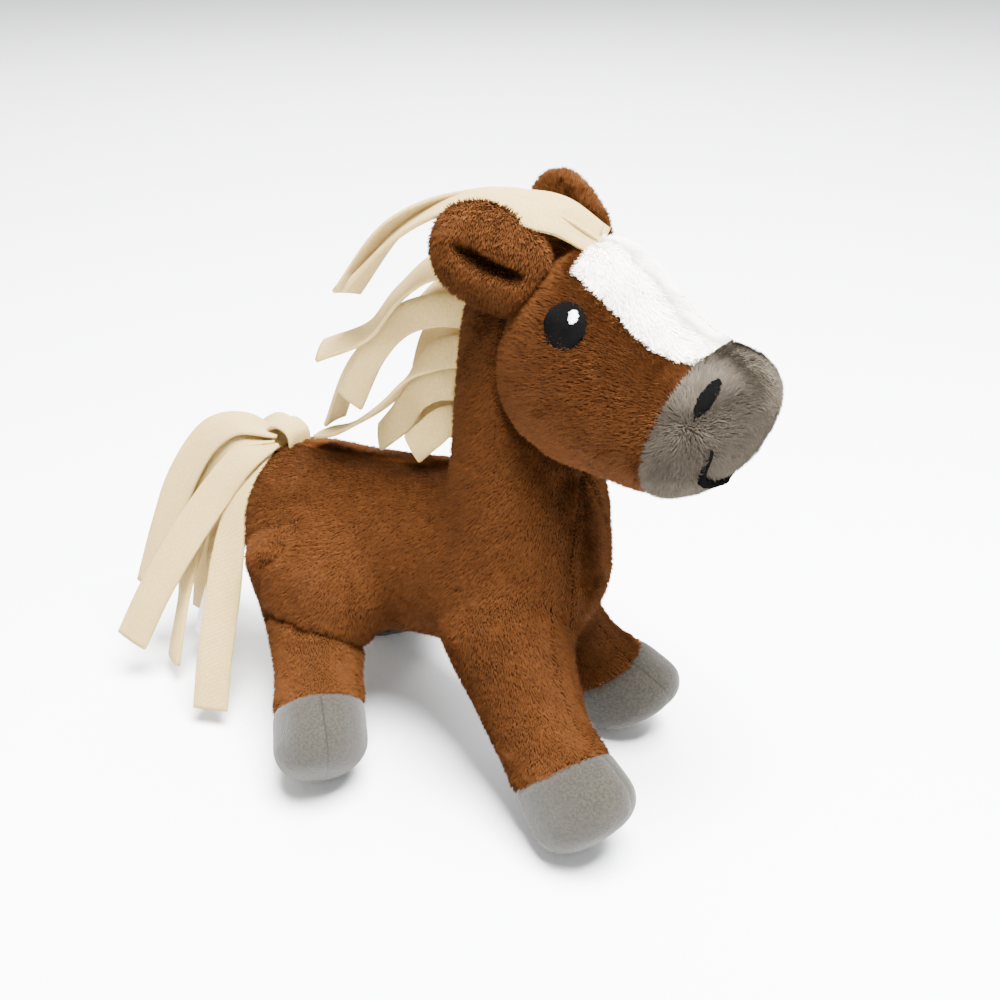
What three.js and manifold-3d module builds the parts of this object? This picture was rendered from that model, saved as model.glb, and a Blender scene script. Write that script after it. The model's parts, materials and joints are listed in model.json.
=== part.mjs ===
// A stuffed toy horse: plush skin panels sewn round fibre filling, with fleece strips for mane and tail.
// Millimetres. +X is forward, +Y is the horse's left, +Z is up and the floor is z = 0.
import * as THREE from "three";
import { mergeVertices } from "three/addons/utils/BufferGeometryUtils.js";
import Module from "manifold-3d";

const wasm = await Module();
wasm.setup();

// Cloth, the gap that every seam keeps, and how far a cutting block reaches
const plushThickness = 1.6;
const seamGap = 0.3;
const overrun = 400;

// Torso and chest gusset
const torsoLength = 131;
const torsoWidth = 52;
const torsoHeight = 50;
const rumpMidHeight = 56;
const torsoRise = 16;
const gussetWidth = 20;
const gussetFoot = 38;
const gussetHeight = 66;

// Haunch, the round of the thigh above each rear leg
const haunchLength = 48;
const haunchWidth = 37;
const haunchHeight = 47;

// Neck
const neckHeight = 97;
const neckDepth = 40;
const neckWidth = 36;

// Head, muzzle and blaze
const headLength = 73;
const headHeight = 56;
const headWidth = 51;
const headDrop = 26;
const headBelowNeckTop = 6;
const muzzleLength = 17.5;
const blazeLength = 43;
const blazeWidth = 29;
const blazeNoseWidth = 19;

// Stitching on the face
const stitchHeight = 0.8;
const eyeHeight = 12;
const eyeWidth = 11;
const glintHeight = 3.9;
const glintWidth = 3.4;
const nostrilLength = 10.5;
const nostrilWidth = 3.5;
const mouthWidth = 33;
const mouthDrop = 14;
const mouthThickness = 1.9;

// Ears
const earLength = 30;
const earHeight = 29;
const earThickness = 12;

// Legs, hooves and soles
const legWidth = 28;
const legDepth = 30;
const hoofHeight = 23;
const hoofWidth = 31;
const hoofLength = 40;
const toeReach = 10.5;
const soleHeight = 3.2;
const floorFlat = 0.5;

// Fleece strips
const stripWidth = 9.4;
const tailStripWidth = 11.6;
const stripThickness = 1.4;
const maneReach = 60;
const forelockReach = 84;
const tailReach = 92;
const tailLoopHeight = 6.5;
const tailLoopLength = 11;

// Care label
const labelWidth = 15;
const labelReach = 60;
const labelThickness = 0.6;

const colours = {
  chestnut: 0x8c5026,
  filling: 0xf2efe8,
  white: 0xf4f2ee,
  greyPlush: 0x958f88,
  greyKnit: 0xa5a099,
  fleece: 0xe9dcc0,
  black: 0x17181a,
  label: 0xf6f6f4,
};

// Each side's name, with which way it lies along Y
const sides = { right: -1, left: 1 };

const at = (x, y, z) => new THREE.Vector3(x, y, z);
const forward = at(1, 0, 0);
const leftward = at(0, 1, 0);
const upward = at(0, 0, 1);
const radians = THREE.MathUtils.degToRad;

// Solids: a geometry becomes a manifold, and a manifold becomes a mesh
function solidOf(geometry) {
  const bare = geometry.clone();
  bare.deleteAttribute("normal");
  bare.deleteAttribute("uv");
  const merged = mergeVertices(bare);
  return new wasm.Manifold(
    new wasm.Mesh({
      numProp: 3,
      vertProperties: merged.attributes.position.array,
      triVerts: new Uint32Array(merged.index.array),
    }),
  );
}

// The largest body of a solid, without the slivers that a cut can leave
function largest(solid) {
  return solid.decompose().sort((a, b) => b.volume() - a.volume())[0];
}

function geometryOf(solid) {
  const mesh = largest(solid).getMesh();
  const geometry = new THREE.BufferGeometry();
  const points = new Float32Array(mesh.numVert * 3);
  for (let i = 0; i < mesh.numVert; i++) points.set(mesh.position(i), i * 3);
  geometry.setAttribute("position", new THREE.BufferAttribute(points, 3));
  geometry.setIndex(new THREE.BufferAttribute(new Uint32Array(mesh.triVerts), 1));
  geometry.computeVertexNormals();
  return geometry;
}

const horse = new THREE.Group();

function add(name, solid, colour) {
  const material = new THREE.MeshStandardMaterial({ color: colour, roughness: 0.95, metalness: 0 });
  const mesh = new THREE.Mesh(geometryOf(solid), material);
  mesh.name = name;
  horse.add(mesh);
}

// Skin through a list of rings of points, closed by a point at each end
function skinOf(rings, first, last) {
  const count = rings[0].length;
  const points = [first, ...rings.flat(), last];
  const ringPoint = (i, j) => 1 + i * count + (j % count);
  const faces = [];
  for (let j = 0; j < count; j++) {
    faces.push(0, ringPoint(0, j + 1), ringPoint(0, j));
    for (let i = 0; i + 1 < rings.length; i++) {
      faces.push(ringPoint(i, j), ringPoint(i, j + 1), ringPoint(i + 1, j + 1));
      faces.push(ringPoint(i, j), ringPoint(i + 1, j + 1), ringPoint(i + 1, j));
    }
    const end = rings.length - 1;
    faces.push(points.length - 1, ringPoint(end, j), ringPoint(end, j + 1));
  }
  const geometry = new THREE.BufferGeometry().setFromPoints(points);
  geometry.setIndex(faces);
  geometry.computeVertexNormals();
  return geometry;
}

// How full a stuffed form is at a share of its length: round at both ends, full between.
// A roundness of 2 rounds an end as an ellipse does, and more makes it blunter.
const roundness = 2.4;
function fullness(share, startRound, endRound) {
  const toStart = Math.max(0, 1 - share / startRound);
  const toEnd = Math.max(0, 1 - (1 - share) / endRound);
  return ((1 - toStart ** roundness) * (1 - toEnd ** roundness)) ** (1 / roundness);
}

// A stuffed form. Each row is a middle point with its half width across and its half height.
// Its rows stand square to its path, or to the way that is given.
class Form {
  constructor(rows, { steps, facets, startRound, endRound, side = leftward, way }) {
    this.path = new THREE.CatmullRomCurve3(rows.map((row) => row.middle));
    this.sizes = new THREE.CatmullRomCurve3(rows.map((row) => at(row.across, row.tall, 0)));
    Object.assign(this, { startRound, endRound, side, way });
    const rings = [];
    for (let i = 1; i < steps; i++) {
      const share = (1 - Math.cos((Math.PI * i) / steps)) / 2;
      const turns = Array.from({ length: facets }, (_, j) => (2 * Math.PI * j) / facets);
      rings.push(turns.map((turn) => this.point(share, turn)));
    }
    this.geometry = skinOf(rings, this.path.getPoint(0), this.path.getPoint(1));
    this.solids = new Map();
  }

  // A point of the surface: a share of the way along, and a turn from the side towards the top
  point(share, turn) {
    const full = fullness(share, this.startRound, this.endRound);
    const along = this.way ?? this.path.getTangent(share);
    const up = along.clone().cross(this.side).normalize();
    const across = up.clone().cross(along).normalize();
    const size = this.sizes.getPoint(share);
    const point = this.path.getPoint(share).addScaledVector(across, Math.cos(turn) * size.x * full);
    return point.addScaledVector(up, Math.sin(turn) * size.y * full);
  }

  // Which way the surface faces at such a point
  facing(share, turn) {
    const step = 0.01;
    const along = this.point(share + step, turn).sub(this.point(share - step, turn));
    const around = this.point(share, turn + step).sub(this.point(share, turn - step));
    return along.cross(around).normalize().negate();
  }

  // The form's solid with its surface moved out by a distance, or in where that is below zero
  solid(distance = 0) {
    if (!this.solids.has(distance)) {
      const moved = this.geometry.clone();
      const { position, normal } = moved.attributes;
      for (let i = 0; i < position.count; i++) {
        const point = new THREE.Vector3().fromBufferAttribute(position, i);
        point.addScaledVector(new THREE.Vector3().fromBufferAttribute(normal, i), distance);
        position.setXYZ(i, ...point);
      }
      this.solids.set(distance, solidOf(moved));
    }
    return this.solids.get(distance);
  }
}

const row = (middle, across, tall) => ({ middle, across, tall });

// A block on one side of a plane, big enough to cut anything here
function halfSpace(point, normal) {
  const way = normal.clone().normalize();
  const block = new THREE.BoxGeometry(overrun, overrun, overrun);
  const turn = new THREE.Quaternion().setFromUnitVectors(upward, way);
  const middle = point.clone().addScaledVector(way, overrun / 2);
  block.applyMatrix4(new THREE.Matrix4().compose(middle, turn, at(1, 1, 1)));
  return solidOf(block);
}

// A flat outline pushed one way through the toy. Right and up are the outline's own axes.
function prism(shape, middle, right, up) {
  const options = { depth: overrun, bevelEnabled: false, curveSegments: 8 };
  const geometry = new THREE.ExtrudeGeometry(shape, options);
  const out = right.clone().cross(up);
  geometry.applyMatrix4(new THREE.Matrix4().makeBasis(right, up, out).setPosition(middle));
  return solidOf(geometry);
}

// Torso: shares of its length, rise, width and height from rump to chest
const torsoShares = [
  [0.0, 0.0, 0.96, 1.08],
  [0.25, 0.06, 1.08, 1.1],
  [0.5, 0.36, 0.98, 1.14],
  [0.76, 0.76, 1.04, 1.14],
  [0.97, 1.12, 0.88, 0.92],
];
const torso = new Form(
  torsoShares.map(([along, rise, wide, tall]) =>
    row(
      at(along * torsoLength, 0, rumpMidHeight + rise * torsoRise),
      (wide * torsoWidth) / 2,
      (tall * torsoHeight) / 2,
    ),
  ),
  { steps: 13, facets: 16, startRound: 0.08, endRound: 0.28 },
);

// Neck: shares of its height, lean, depth and width from inside the chest to inside the head
const neckShares = [
  [-0.1, 0.0, 1.1, 1.2],
  [0.25, 0.09, 1.2, 1.44],
  [0.45, 0.05, 1.05, 1.3],
  [0.65, 0.0, 0.92, 1.06],
  [0.85, 0.0, 0.84, 0.94],
  [1.0, 0.05, 0.78, 0.88],
];
const neckFoot = at(torsoLength * 0.756, 0, rumpMidHeight);
const neck = new Form(
  neckShares.map(([up, lean, deep, wide]) =>
    row(
      neckFoot.clone().add(at(lean * neckDepth, 0, up * neckHeight)),
      (wide * neckWidth) / 2,
      (deep * neckDepth) / 2,
    ),
  ),
  { steps: 10, facets: 14, startRound: 0.2, endRound: 0.1 },
);

// Head: shares of its length, drop, width and height from the back of the skull to the nose
const skull = neckFoot.clone().add(at(neckDepth * 0.05, 0, neckHeight - headBelowNeckTop));
const headAlong = at(headLength, 0, -headDrop).normalize();
const headUp = headAlong.clone().cross(leftward);
const headShares = [
  [0.0, 0.06, 0.84, 0.94],
  [0.2, 0.2, 1.0, 1.12],
  [0.4, 0.5, 1.02, 1.03],
  [0.6, 0.74, 0.94, 0.82],
  [0.8, 0.79, 0.9, 0.84],
  [0.99, 0.76, 0.84, 0.78],
];
const head = new Form(
  headShares.map(([along, drop, wide, tall]) =>
    row(
      at(skull.x + along * headLength, 0, skull.z - drop * headDrop),
      (wide * headWidth) / 2,
      (tall * headHeight) / 2,
    ),
  ),
  { steps: 13, facets: 16, startRound: 0.26, endRound: 0.3, way: headAlong },
);

// Legs: where each leaves the torso, as shares of its length and width, how far forward and out its
// hoof stands, as shares of the hip's height, and how thick its thigh is, as a share of the leg
const legPlaceShares = {
  front_right: { along: 0.75, wide: -0.26, ahead: 0.76, out: 0.33, thigh: 1.42 },
  front_left: { along: 0.73, wide: 0.2, ahead: 0.41, out: 0.34, thigh: 1 },
  rear_right: { along: 0.17, wide: -0.3, ahead: 0.735, out: 0.61, thigh: 1.5 },
  rear_left: { along: 0.2, wide: 0.24, ahead: -0.18, out: 0.31, thigh: 1.1 },
};
// Degrees that each toe turns from straight ahead
const toeTurns = { front_right: -6, front_left: 0, rear_right: -50, rear_left: 20 };
// Shares of the way from hip to hoof, forward, out and down, then of the leg's width and depth
const legShares = [
  [0.0, 0.0, 0.0, 1.0, 1.08],
  [0.28, 0.18, 0.36, 1.0, 1.04],
  [0.66, 0.62, 0.68, 0.96, 0.98],
];
// The same shares for the hoof's width and length, and last a share of its toe's reach
const hoofShares = [
  [0.9, 0.93, 0.88, 0.98, 0.96, 0.7],
  [1.0, 1.0, 1.0, 0.8, 0.84, 1],
];
// How far down the thigh has thinned to the leg
const kneeShare = 0.7;

function legForm(place, toeTurn, lift = 0) {
  const turn = radians(toeTurn);
  const toeWay = at(Math.cos(turn), Math.sin(turn), 0);
  const hip = at(place.along * torsoLength, place.wide * torsoWidth, rumpMidHeight);
  const reach = at(place.ahead * hip.z, Math.sign(place.wide) * place.out * hip.z, -hip.z);
  const spot = (ahead, aside, down) =>
    hip.clone().add(at(ahead * reach.x, aside * reach.y, down * reach.z + lift));
  const legRows = legShares.map(([ahead, aside, down, across, deep]) => {
    const half = THREE.MathUtils.lerp(place.thigh, 1, down / kneeShare) / 2;
    return row(spot(ahead, aside, down), across * legWidth * half, deep * legDepth * half);
  });
  const hoofRows = hoofShares.map(([ahead, aside, down, across, deep, toe]) =>
    row(
      spot(ahead, aside, down).addScaledVector(toeWay, toe * toeReach),
      (across * hoofWidth) / 2,
      (deep * hoofLength) / 2,
    ),
  );
  return new Form([...legRows, ...hoofRows], {
    steps: 10,
    facets: 12,
    startRound: 0.12,
    endRound: 0.2,
    side: at(-toeWay.y, toeWay.x, 0),
  });
}

// The same leg, moved so that the floor takes a flat slice off its hoof
function standingLeg(place, toeTurn) {
  const { geometry } = legForm(place, toeTurn);
  geometry.computeBoundingBox();
  return legForm(place, toeTurn, -floorFlat - geometry.boundingBox.min.z);
}
const legs = Object.entries(legPlaceShares).map(([name, place]) => ({
  name,
  form: standingLeg(place, toeTurns[name]),
}));

// Haunches: shares of their length, width and height from back to front, and where they sit as
// shares of the torso's length, width and height
const haunchShares = [
  [-0.5, 0.4, 0.5],
  [-0.2, 0.92, 0.95],
  [0.17, 1.0, 1.0],
  [0.5, 0.6, 0.6],
];
const haunchPlaceShares = { along: 0.305, wide: 0.46, up: -0.14 };
const haunches = Object.values(sides).map((outward) => {
  const { along, wide, up } = haunchPlaceShares;
  const seat = at(along * torsoLength, outward * wide * torsoWidth, rumpMidHeight + up * torsoHeight);
  const rows = haunchShares.map(([share, across, tall]) =>
    row(
      seat.clone().addScaledVector(forward, share * haunchLength),
      (across * haunchWidth) / 2,
      (tall * haunchHeight) / 2,
    ),
  );
  return new Form(rows, { steps: 8, facets: 12, startRound: 0.45, endRound: 0.45 });
});

// The whole body from torso, haunches and neck together, and the cloth's inner face
const skinInside = -plushThickness;
const fillingOutside = skinInside - seamGap;
const trunk = (distance) =>
  haunches.reduce((sum, haunch) => sum.add(haunch.solid(distance)), torso.solid(distance));
const body = (distance) => trunk(distance).add(neck.solid(distance));
const aboveFloor = halfSpace(at(0, 0, 0), upward);

// Filling
add("torso_filling", trunk(fillingOutside), colours.filling);
const neckFilling = neck.solid(fillingOutside).subtract(trunk(skinInside));
add("neck_filling", neckFilling.subtract(head.solid(skinInside)), colours.filling);
add("head_filling", head.solid(fillingOutside), colours.filling);

// Body skin: two side panels and the chest gusset, open where the legs and the neck pass their filling
let bodySkin = body(0).subtract(body(skinInside)).subtract(head.solid(seamGap));
for (const { form } of legs) bodySkin = bodySkin.subtract(form.solid(skinInside));
const rightSide = halfSpace(at(0, -seamGap / 2, 0), at(0, -1, 0));
const leftSide = halfSpace(at(0, seamGap / 2, 0), leftward);
function gussetBlock(margin) {
  const bulge = gussetWidth + margin * 2;
  const shape = new THREE.Shape();
  shape.moveTo(0, -margin);
  shape.quadraticCurveTo(bulge, gussetHeight / 2, 0, gussetHeight + margin);
  shape.quadraticCurveTo(-bulge, gussetHeight / 2, 0, -margin);
  return prism(shape, at(neckFoot.x, 0, gussetFoot), leftward, upward);
}
add("chest_gusset", bodySkin.intersect(gussetBlock(0)), colours.chestnut);
const sidePanels = bodySkin.subtract(gussetBlock(seamGap));
add("body_panel_right", sidePanels.intersect(rightSide), colours.chestnut);
add("body_panel_left", sidePanels.intersect(leftSide), colours.chestnut);

// Head skin: two side panels, the blaze between them and the muzzle cover in front
const muzzleSeam = skull.clone().addScaledVector(headAlong, headLength - muzzleLength);
const muzzleTiltShare = 0.75;
const muzzleWay = at(headLength, 0, -headDrop * muzzleTiltShare).normalize();
const muzzleSide = (distance) =>
  halfSpace(muzzleSeam.clone().addScaledVector(muzzleWay, distance), muzzleWay);
const headSkin = head.solid(0).subtract(head.solid(skinInside)).subtract(neck.solid(skinInside));
// The blaze keeps this share of its width to this share of its length from the muzzle
const blazeWaistShares = { width: 0.95, length: 0.45 };
const blazeShoulderShare = 0.93;
function blazeBlock(margin) {
  const nose = blazeNoseWidth / 2 + margin;
  const wide = blazeWidth / 2 + margin;
  const shape = new THREE.Shape();
  const waist = [-blazeLength * blazeWaistShares.length, wide * blazeWaistShares.width];
  shape.moveTo(overrun, nose);
  shape.lineTo(0, nose);
  shape.lineTo(...waist);
  shape.lineTo(-blazeLength * blazeShoulderShare, wide);
  shape.lineTo(-blazeLength - margin, 0);
  shape.lineTo(-blazeLength * blazeShoulderShare, -wide);
  shape.lineTo(waist[0], -waist[1]);
  shape.lineTo(0, -nose);
  shape.lineTo(overrun, -nose);
  return prism(shape, muzzleSeam, headAlong, leftward);
}
const browSkin = headSkin.subtract(muzzleSide(-seamGap / 2));
add("muzzle_cover", headSkin.intersect(muzzleSide(seamGap / 2)), colours.greyPlush);
add("blaze", browSkin.intersect(blazeBlock(0)), colours.white);
const cheeks = browSkin.subtract(blazeBlock(seamGap));
add("head_panel_right", cheeks.intersect(rightSide), colours.chestnut);
add("head_panel_left", cheeks.intersect(leftSide), colours.chestnut);

// Stitching on the head: outlines pushed out of the surface, as thick as the thread stands
const stitches = (height) => head.solid(seamGap + height).subtract(head.solid(seamGap));
const ellipse = (width, height, turn = 0) =>
  new THREE.Shape().absellipse(0, 0, width / 2, height / 2, 0, 2 * Math.PI, false, turn);

// A block over one spot of the head, which faces as the surface there does.
// The turn is in degrees up from that side.
function facingBlock(shape, outward, share, degrees) {
  const turn = outward > 0 ? radians(degrees) : Math.PI - radians(degrees);
  const out = head.facing(share, turn);
  const right = upward.clone().cross(out).normalize();
  const middle = head.point(share, turn).addScaledVector(out, -headWidth / 4);
  return prism(shape, middle, right, out.clone().cross(right));
}

// Where the eyes and the nostrils sit: shares of the head's length, with degrees up its side
const eyeShare = 0.292;
const eyeTurn = 31;
const glintShare = 0.3;
const glintTurn = 37;
const glintStandShare = 1.25;
const nostrilShare = 0.81;
const nostrilTurn = 44;
const nostrilTilt = 29;
for (const [side, outward] of Object.entries(sides)) {
  const glint = (margin) =>
    facingBlock(ellipse(glintWidth + margin, glintHeight + margin), outward, glintShare, glintTurn);
  const eye = stitches(stitchHeight).intersect(
    facingBlock(ellipse(eyeWidth, eyeHeight), outward, eyeShare, eyeTurn),
  );
  add("eye_" + side, eye.subtract(glint(seamGap)), colours.black);
  add("eye_glint_" + side, stitches(stitchHeight * glintStandShare).intersect(glint(0)), colours.white);
  const slit = ellipse(nostrilWidth, nostrilLength, outward * radians(nostrilTilt));
  const nostril = stitches(stitchHeight).intersect(
    facingBlock(slit, outward, nostrilShare, nostrilTurn),
  );
  add("nostril_" + side, nostril, colours.black);
}

// The mouth is a crescent, from corner to corner across the front of the muzzle
const mouthCornerShare = 0.005;
const mouthTaperShare = 0.4;
const mouthMiddle = at(muzzleSeam.x, 0, head.path.getPoint(1).z + headHeight * mouthCornerShare);
const smile = new THREE.Shape();
smile.moveTo(-mouthWidth / 2, 0);
smile.bezierCurveTo(-mouthWidth / 2, -mouthDrop, -mouthWidth / 4, -mouthDrop, 0, -mouthDrop);
smile.bezierCurveTo(mouthWidth / 4, -mouthDrop, mouthWidth / 2, -mouthDrop, mouthWidth / 2, 0);
const smileIn = mouthWidth / 2 - mouthThickness * mouthTaperShare;
const smileLow = mouthThickness - mouthDrop;
smile.lineTo(smileIn, 0);
smile.bezierCurveTo(smileIn, smileLow, mouthWidth / 4, smileLow, 0, smileLow);
smile.bezierCurveTo(-mouthWidth / 4, smileLow, -smileIn, smileLow, -smileIn, 0);
const mouth = stitches(stitchHeight).intersect(prism(smile, mouthMiddle, leftward, upward));
add("mouth", mouth, colours.black);

// Legs: a plush sleeve, a knit hoof cover and its sole round one filling
for (const { name, form } of legs) {
  const foot = form.path.getPoint(1);
  const axis = foot.clone().sub(form.path.getPoint(0)).normalize();
  const hoofSide = (distance) =>
    halfSpace(foot.clone().addScaledVector(axis, distance - hoofHeight), axis);
  const soleSide = (distance) => halfSpace(at(0, 0, soleHeight + distance), at(0, 0, -1));
  const sleeve = form.solid(0).subtract(form.solid(skinInside)).intersect(aboveFloor);
  const thigh = sleeve.subtract(hoofSide(-seamGap)).subtract(body(seamGap));
  add("leg_filling_" + name, form.solid(fillingOutside).subtract(body(skinInside)), colours.filling);
  add("leg_" + name, thigh, colours.chestnut);
  add("hoof_" + name, sleeve.intersect(hoofSide(0)).subtract(soleSide(seamGap)), colours.greyKnit);
  add("sole_" + name, sleeve.intersect(soleSide(0)), colours.greyKnit);
}

// Ears: a plush pouch folded round a hollow, sewn to the back corner of each cheek.
// Shares of the ear's length back, out and up from its seam, then of its height and thickness.
const earShares = [
  [0.14, 0.0, 0.08, 0.8, 0.65],
  [-0.2, 0.1, 0.14, 0.95, 1.0],
  [-0.52, 0.22, 0.3, 1.0, 1.0],
  [-0.86, 0.32, 0.5, 0.84, 0.8],
];
// The hollow: shares of the way along the ear, of its thickness out and deep, and of its height
const bowlShares = [0.15, 0.5, 0.82];
const bowlOutShare = 0.5;
const bowlDepthShare = 0.58;
const bowlHeightShare = 0.08;
const earSeatShares = [0.17, 0.26, 0.2];
const earSeat = skull
  .clone()
  .add(at(headLength * earSeatShares[0], 0, headHeight * earSeatShares[2]));
function earForm(outward, distance) {
  const seat = earSeat.clone().add(at(0, outward * headWidth * earSeatShares[1], 0));
  const rows = earShares.map(([back, out, up, tall, thick]) =>
    row(
      seat.clone().add(at(back * earLength, outward * out * earLength, up * earLength)),
      (thick * earThickness) / 2,
      (tall * earHeight) / 2,
    ),
  );
  const side = rows.at(-1).middle.clone().sub(rows[0].middle).cross(upward).normalize();
  const pouch = new Form(rows, { steps: 9, facets: 12, startRound: 0.2, endRound: 0.45, side });
  const bowlRows = bowlShares.map((share) =>
    row(
      pouch.path.getPoint(share).addScaledVector(side, outward * earThickness * bowlOutShare),
      earThickness * bowlDepthShare,
      earHeight * bowlHeightShare,
    ),
  );
  const bowl = new Form(bowlRows, { steps: 6, facets: 8, startRound: 0.4, endRound: 0.4, side });
  return distance > 0 ? pouch.solid(distance) : pouch.solid(0).subtract(bowl.solid(0));
}
const skins = body(seamGap).add(head.solid(seamGap));
let taken = skins;
for (const [side, outward] of Object.entries(sides)) {
  add("ear_" + side, earForm(outward, 0).subtract(skins), colours.chestnut);
  taken = taken.add(earForm(outward, seamGap));
}

// A flat strip through points, with its broad face turned towards a direction at each of them
function strip(points, faces, width, thickness) {
  const path = new THREE.CatmullRomCurve3(points);
  const turns = new THREE.CatmullRomCurve3(faces.map((face) => at(...face)));
  const steps = 12;
  const corners = [[1, 1], [1, -1], [-1, -1], [-1, 1]];
  const rings = [];
  for (let i = 0; i <= steps; i++) {
    const along = path.getTangent(i / steps);
    const across = along.clone().cross(turns.getPoint(i / steps)).normalize();
    const face = across.clone().cross(along).normalize();
    const middle = path.getPoint(i / steps);
    const corner = ([wide, thick]) =>
      middle
        .clone()
        .addScaledVector(across, (wide * width) / 2)
        .addScaledVector(face, (thick * thickness) / 2);
    rings.push(corners.map(corner));
  }
  return solidOf(skinOf(rings, path.getPoint(0), path.getPoint(1)));
}

// Strips are laid in turn, each clear of the skins, the ears and the strips before it.
// A route starts at its seat and goes on in shares of its reach, and the faces are directions.
function addStrip(name, seat, reach, { route, faces }, width, thickness = stripThickness, colour = colours.fleece) {
  const points = route.map(([x, y, z]) => seat.clone().add(at(x, y, z).multiplyScalar(reach)));
  add(name, strip(points, faces, width, thickness).subtract(taken), colour);
  taken = taken.add(strip(points, faces, width + seamGap * 2, thickness + seamGap * 2));
}

// Mane: strips sewn in layers into the seam up the back of the neck, from the poll to the withers.
// Up is a share of the way along the neck, and layer counts strips out from the middle of the seam.
const maneShares = [
  {
    up: 0.955,
    layer: 0,
    route: [[0.08, 0, 0], [-0.23, -0.03, 0.02], [-0.45, -0.08, -0.15], [-0.6, -0.13, -0.35], [-0.88, -0.18, -0.5]],
    faces: [[-0.2, -0.9, 0.4], [-0.3, -0.7, 0.6], [-0.4, -0.5, 0.75], [-0.4, -0.5, 0.75], [-0.3, -0.5, 0.8]],
  },
  {
    up: 0.82,
    layer: -0.5,
    route: [[0.08, 0, 0], [-0.18, -0.04, -0.02], [-0.36, -0.08, -0.1], [-0.49, -0.13, -0.25], [-0.64, -0.16, -0.55]],
    faces: [[0, -1, 0.1], [0, -1, 0.2], [0.1, -0.9, 0.3], [0.2, -0.9, 0.3], [0.2, -0.9, 0.3]],
  },
  {
    up: 0.87,
    layer: 0.5,
    route: [[0.08, 0, 0], [-0.2, 0.02, -0.02], [-0.48, 0.02, -0.19], [-0.74, 0, -0.46], [-0.98, 0.04, -0.9]],
    faces: [[0, -1, 0.1], [-0.4, -0.7, 0.5], [-0.7, -0.07, 0.7], [-0.7, -0.07, 0.7], [-0.8, 0, 0.5]],
  },
  {
    up: 0.71,
    layer: 0,
    route: [[0.08, 0, 0], [-0.15, -0.03, -0.05], [-0.3, -0.05, -0.16], [-0.47, -0.05, -0.36], [-0.82, 0, -0.63], [-1, 0.03, -0.71]],
    faces: [[0, -1, 0.1], [-0.2, -0.9, 0.3], [-0.6, -0.4, 0.7], [-0.7, -0.07, 0.7], [-0.6, 0, 0.8], [-0.4, 0, 0.9]],
  },
  {
    up: 0.615,
    layer: -0.5,
    route: [[0.08, 0, 0], [-0.14, -0.04, -0.03], [-0.29, -0.03, -0.13], [-0.41, 0, -0.28], [-0.6, 0.05, -0.46]],
    faces: [[0, -1, 0.1], [0, -1, 0.2], [0.2, -0.9, 0.4], [0.3, -0.8, 0.5], [0.2, -0.7, 0.7]],
  },
  {
    up: 0.56,
    layer: 0.5,
    route: [[0.08, 0, 0], [-0.21, 0.06, -0.08], [-0.37, 0.09, -0.2], [-0.42, 0.11, -0.36]],
    faces: [[0, -1, 0.1], [0, -1, 0.2], [0, -1, 0.1], [0.2, -1, 0]],
  },
  {
    up: 0.5,
    layer: -0.5,
    route: [[0.08, 0, 0], [-0.07, -0.06, 0.01], [-0.16, -0.09, -0.07], [-0.26, -0.1, -0.17]],
    faces: [[0, -1, 0.1], [0.3, -0.8, 0.5], [0.5, -0.6, 0.6], [0.2, -0.9, 0.4]],
  },
  {
    up: 0.785,
    layer: 1.5,
    route: [[0.08, 0, 0], [-0.19, 0.06, -0.07], [-0.34, 0.12, -0.18], [-0.43, 0.15, -0.37], [-0.46, 0.15, -0.55]],
    faces: [[0, -1, 0.1], [0, -1, 0.2], [0.1, -1, 0.2], [0.2, -1, 0.1], [0.2, -1, 0]],
  },
];
maneShares.forEach((lock, i) => {
  const seat = neck.point(lock.up, Math.PI / 2);
  seat.y += lock.layer * (stripThickness + seamGap);
  addStrip("mane_strip_" + (i + 1), seat, maneReach, lock, stripWidth);
});

// Forelock: two strips from the top of the blaze, swept back over the right ear
const blazeTop = muzzleSeam
  .clone()
  .addScaledVector(headAlong, -blazeLength)
  .addScaledVector(headUp, headHeight / 2);
const forelockShares = [
  {
    route: [[0.02, -0.02, 0], [-0.06, -0.08, 0.055], [-0.13, -0.14, 0.075], [-0.34, -0.18, 0.1], [-0.6, -0.18, -0.02], [-0.86, -0.17, -0.26]],
    faces: [[0.3, -0.6, 0.8], [0.3, -0.6, 0.8], [0, -0.5, 1], [-0.3, -0.4, 0.9], [-0.6, -0.4, 0.7], [-0.7, -0.4, 0.6]],
  },
  {
    route: [[0.02, 0.03, 0], [-0.1, -0.03, 0.085], [-0.22, -0.07, 0.11], [-0.42, -0.1, 0.09], [-0.68, -0.12, -0.04], [-0.94, -0.1, -0.33]],
    faces: [[0.3, 0, 1], [0.1, -0.2, 1], [-0.1, 0, 1], [-0.4, 0.2, 0.9], [-0.7, 0.3, 0.6], [-0.8, 0.4, 0.4]],
  },
];
forelockShares.forEach((lock, i) => {
  addStrip("forelock_strip_" + (i + 1), blazeTop, forelockReach, lock, stripWidth);
});

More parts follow.
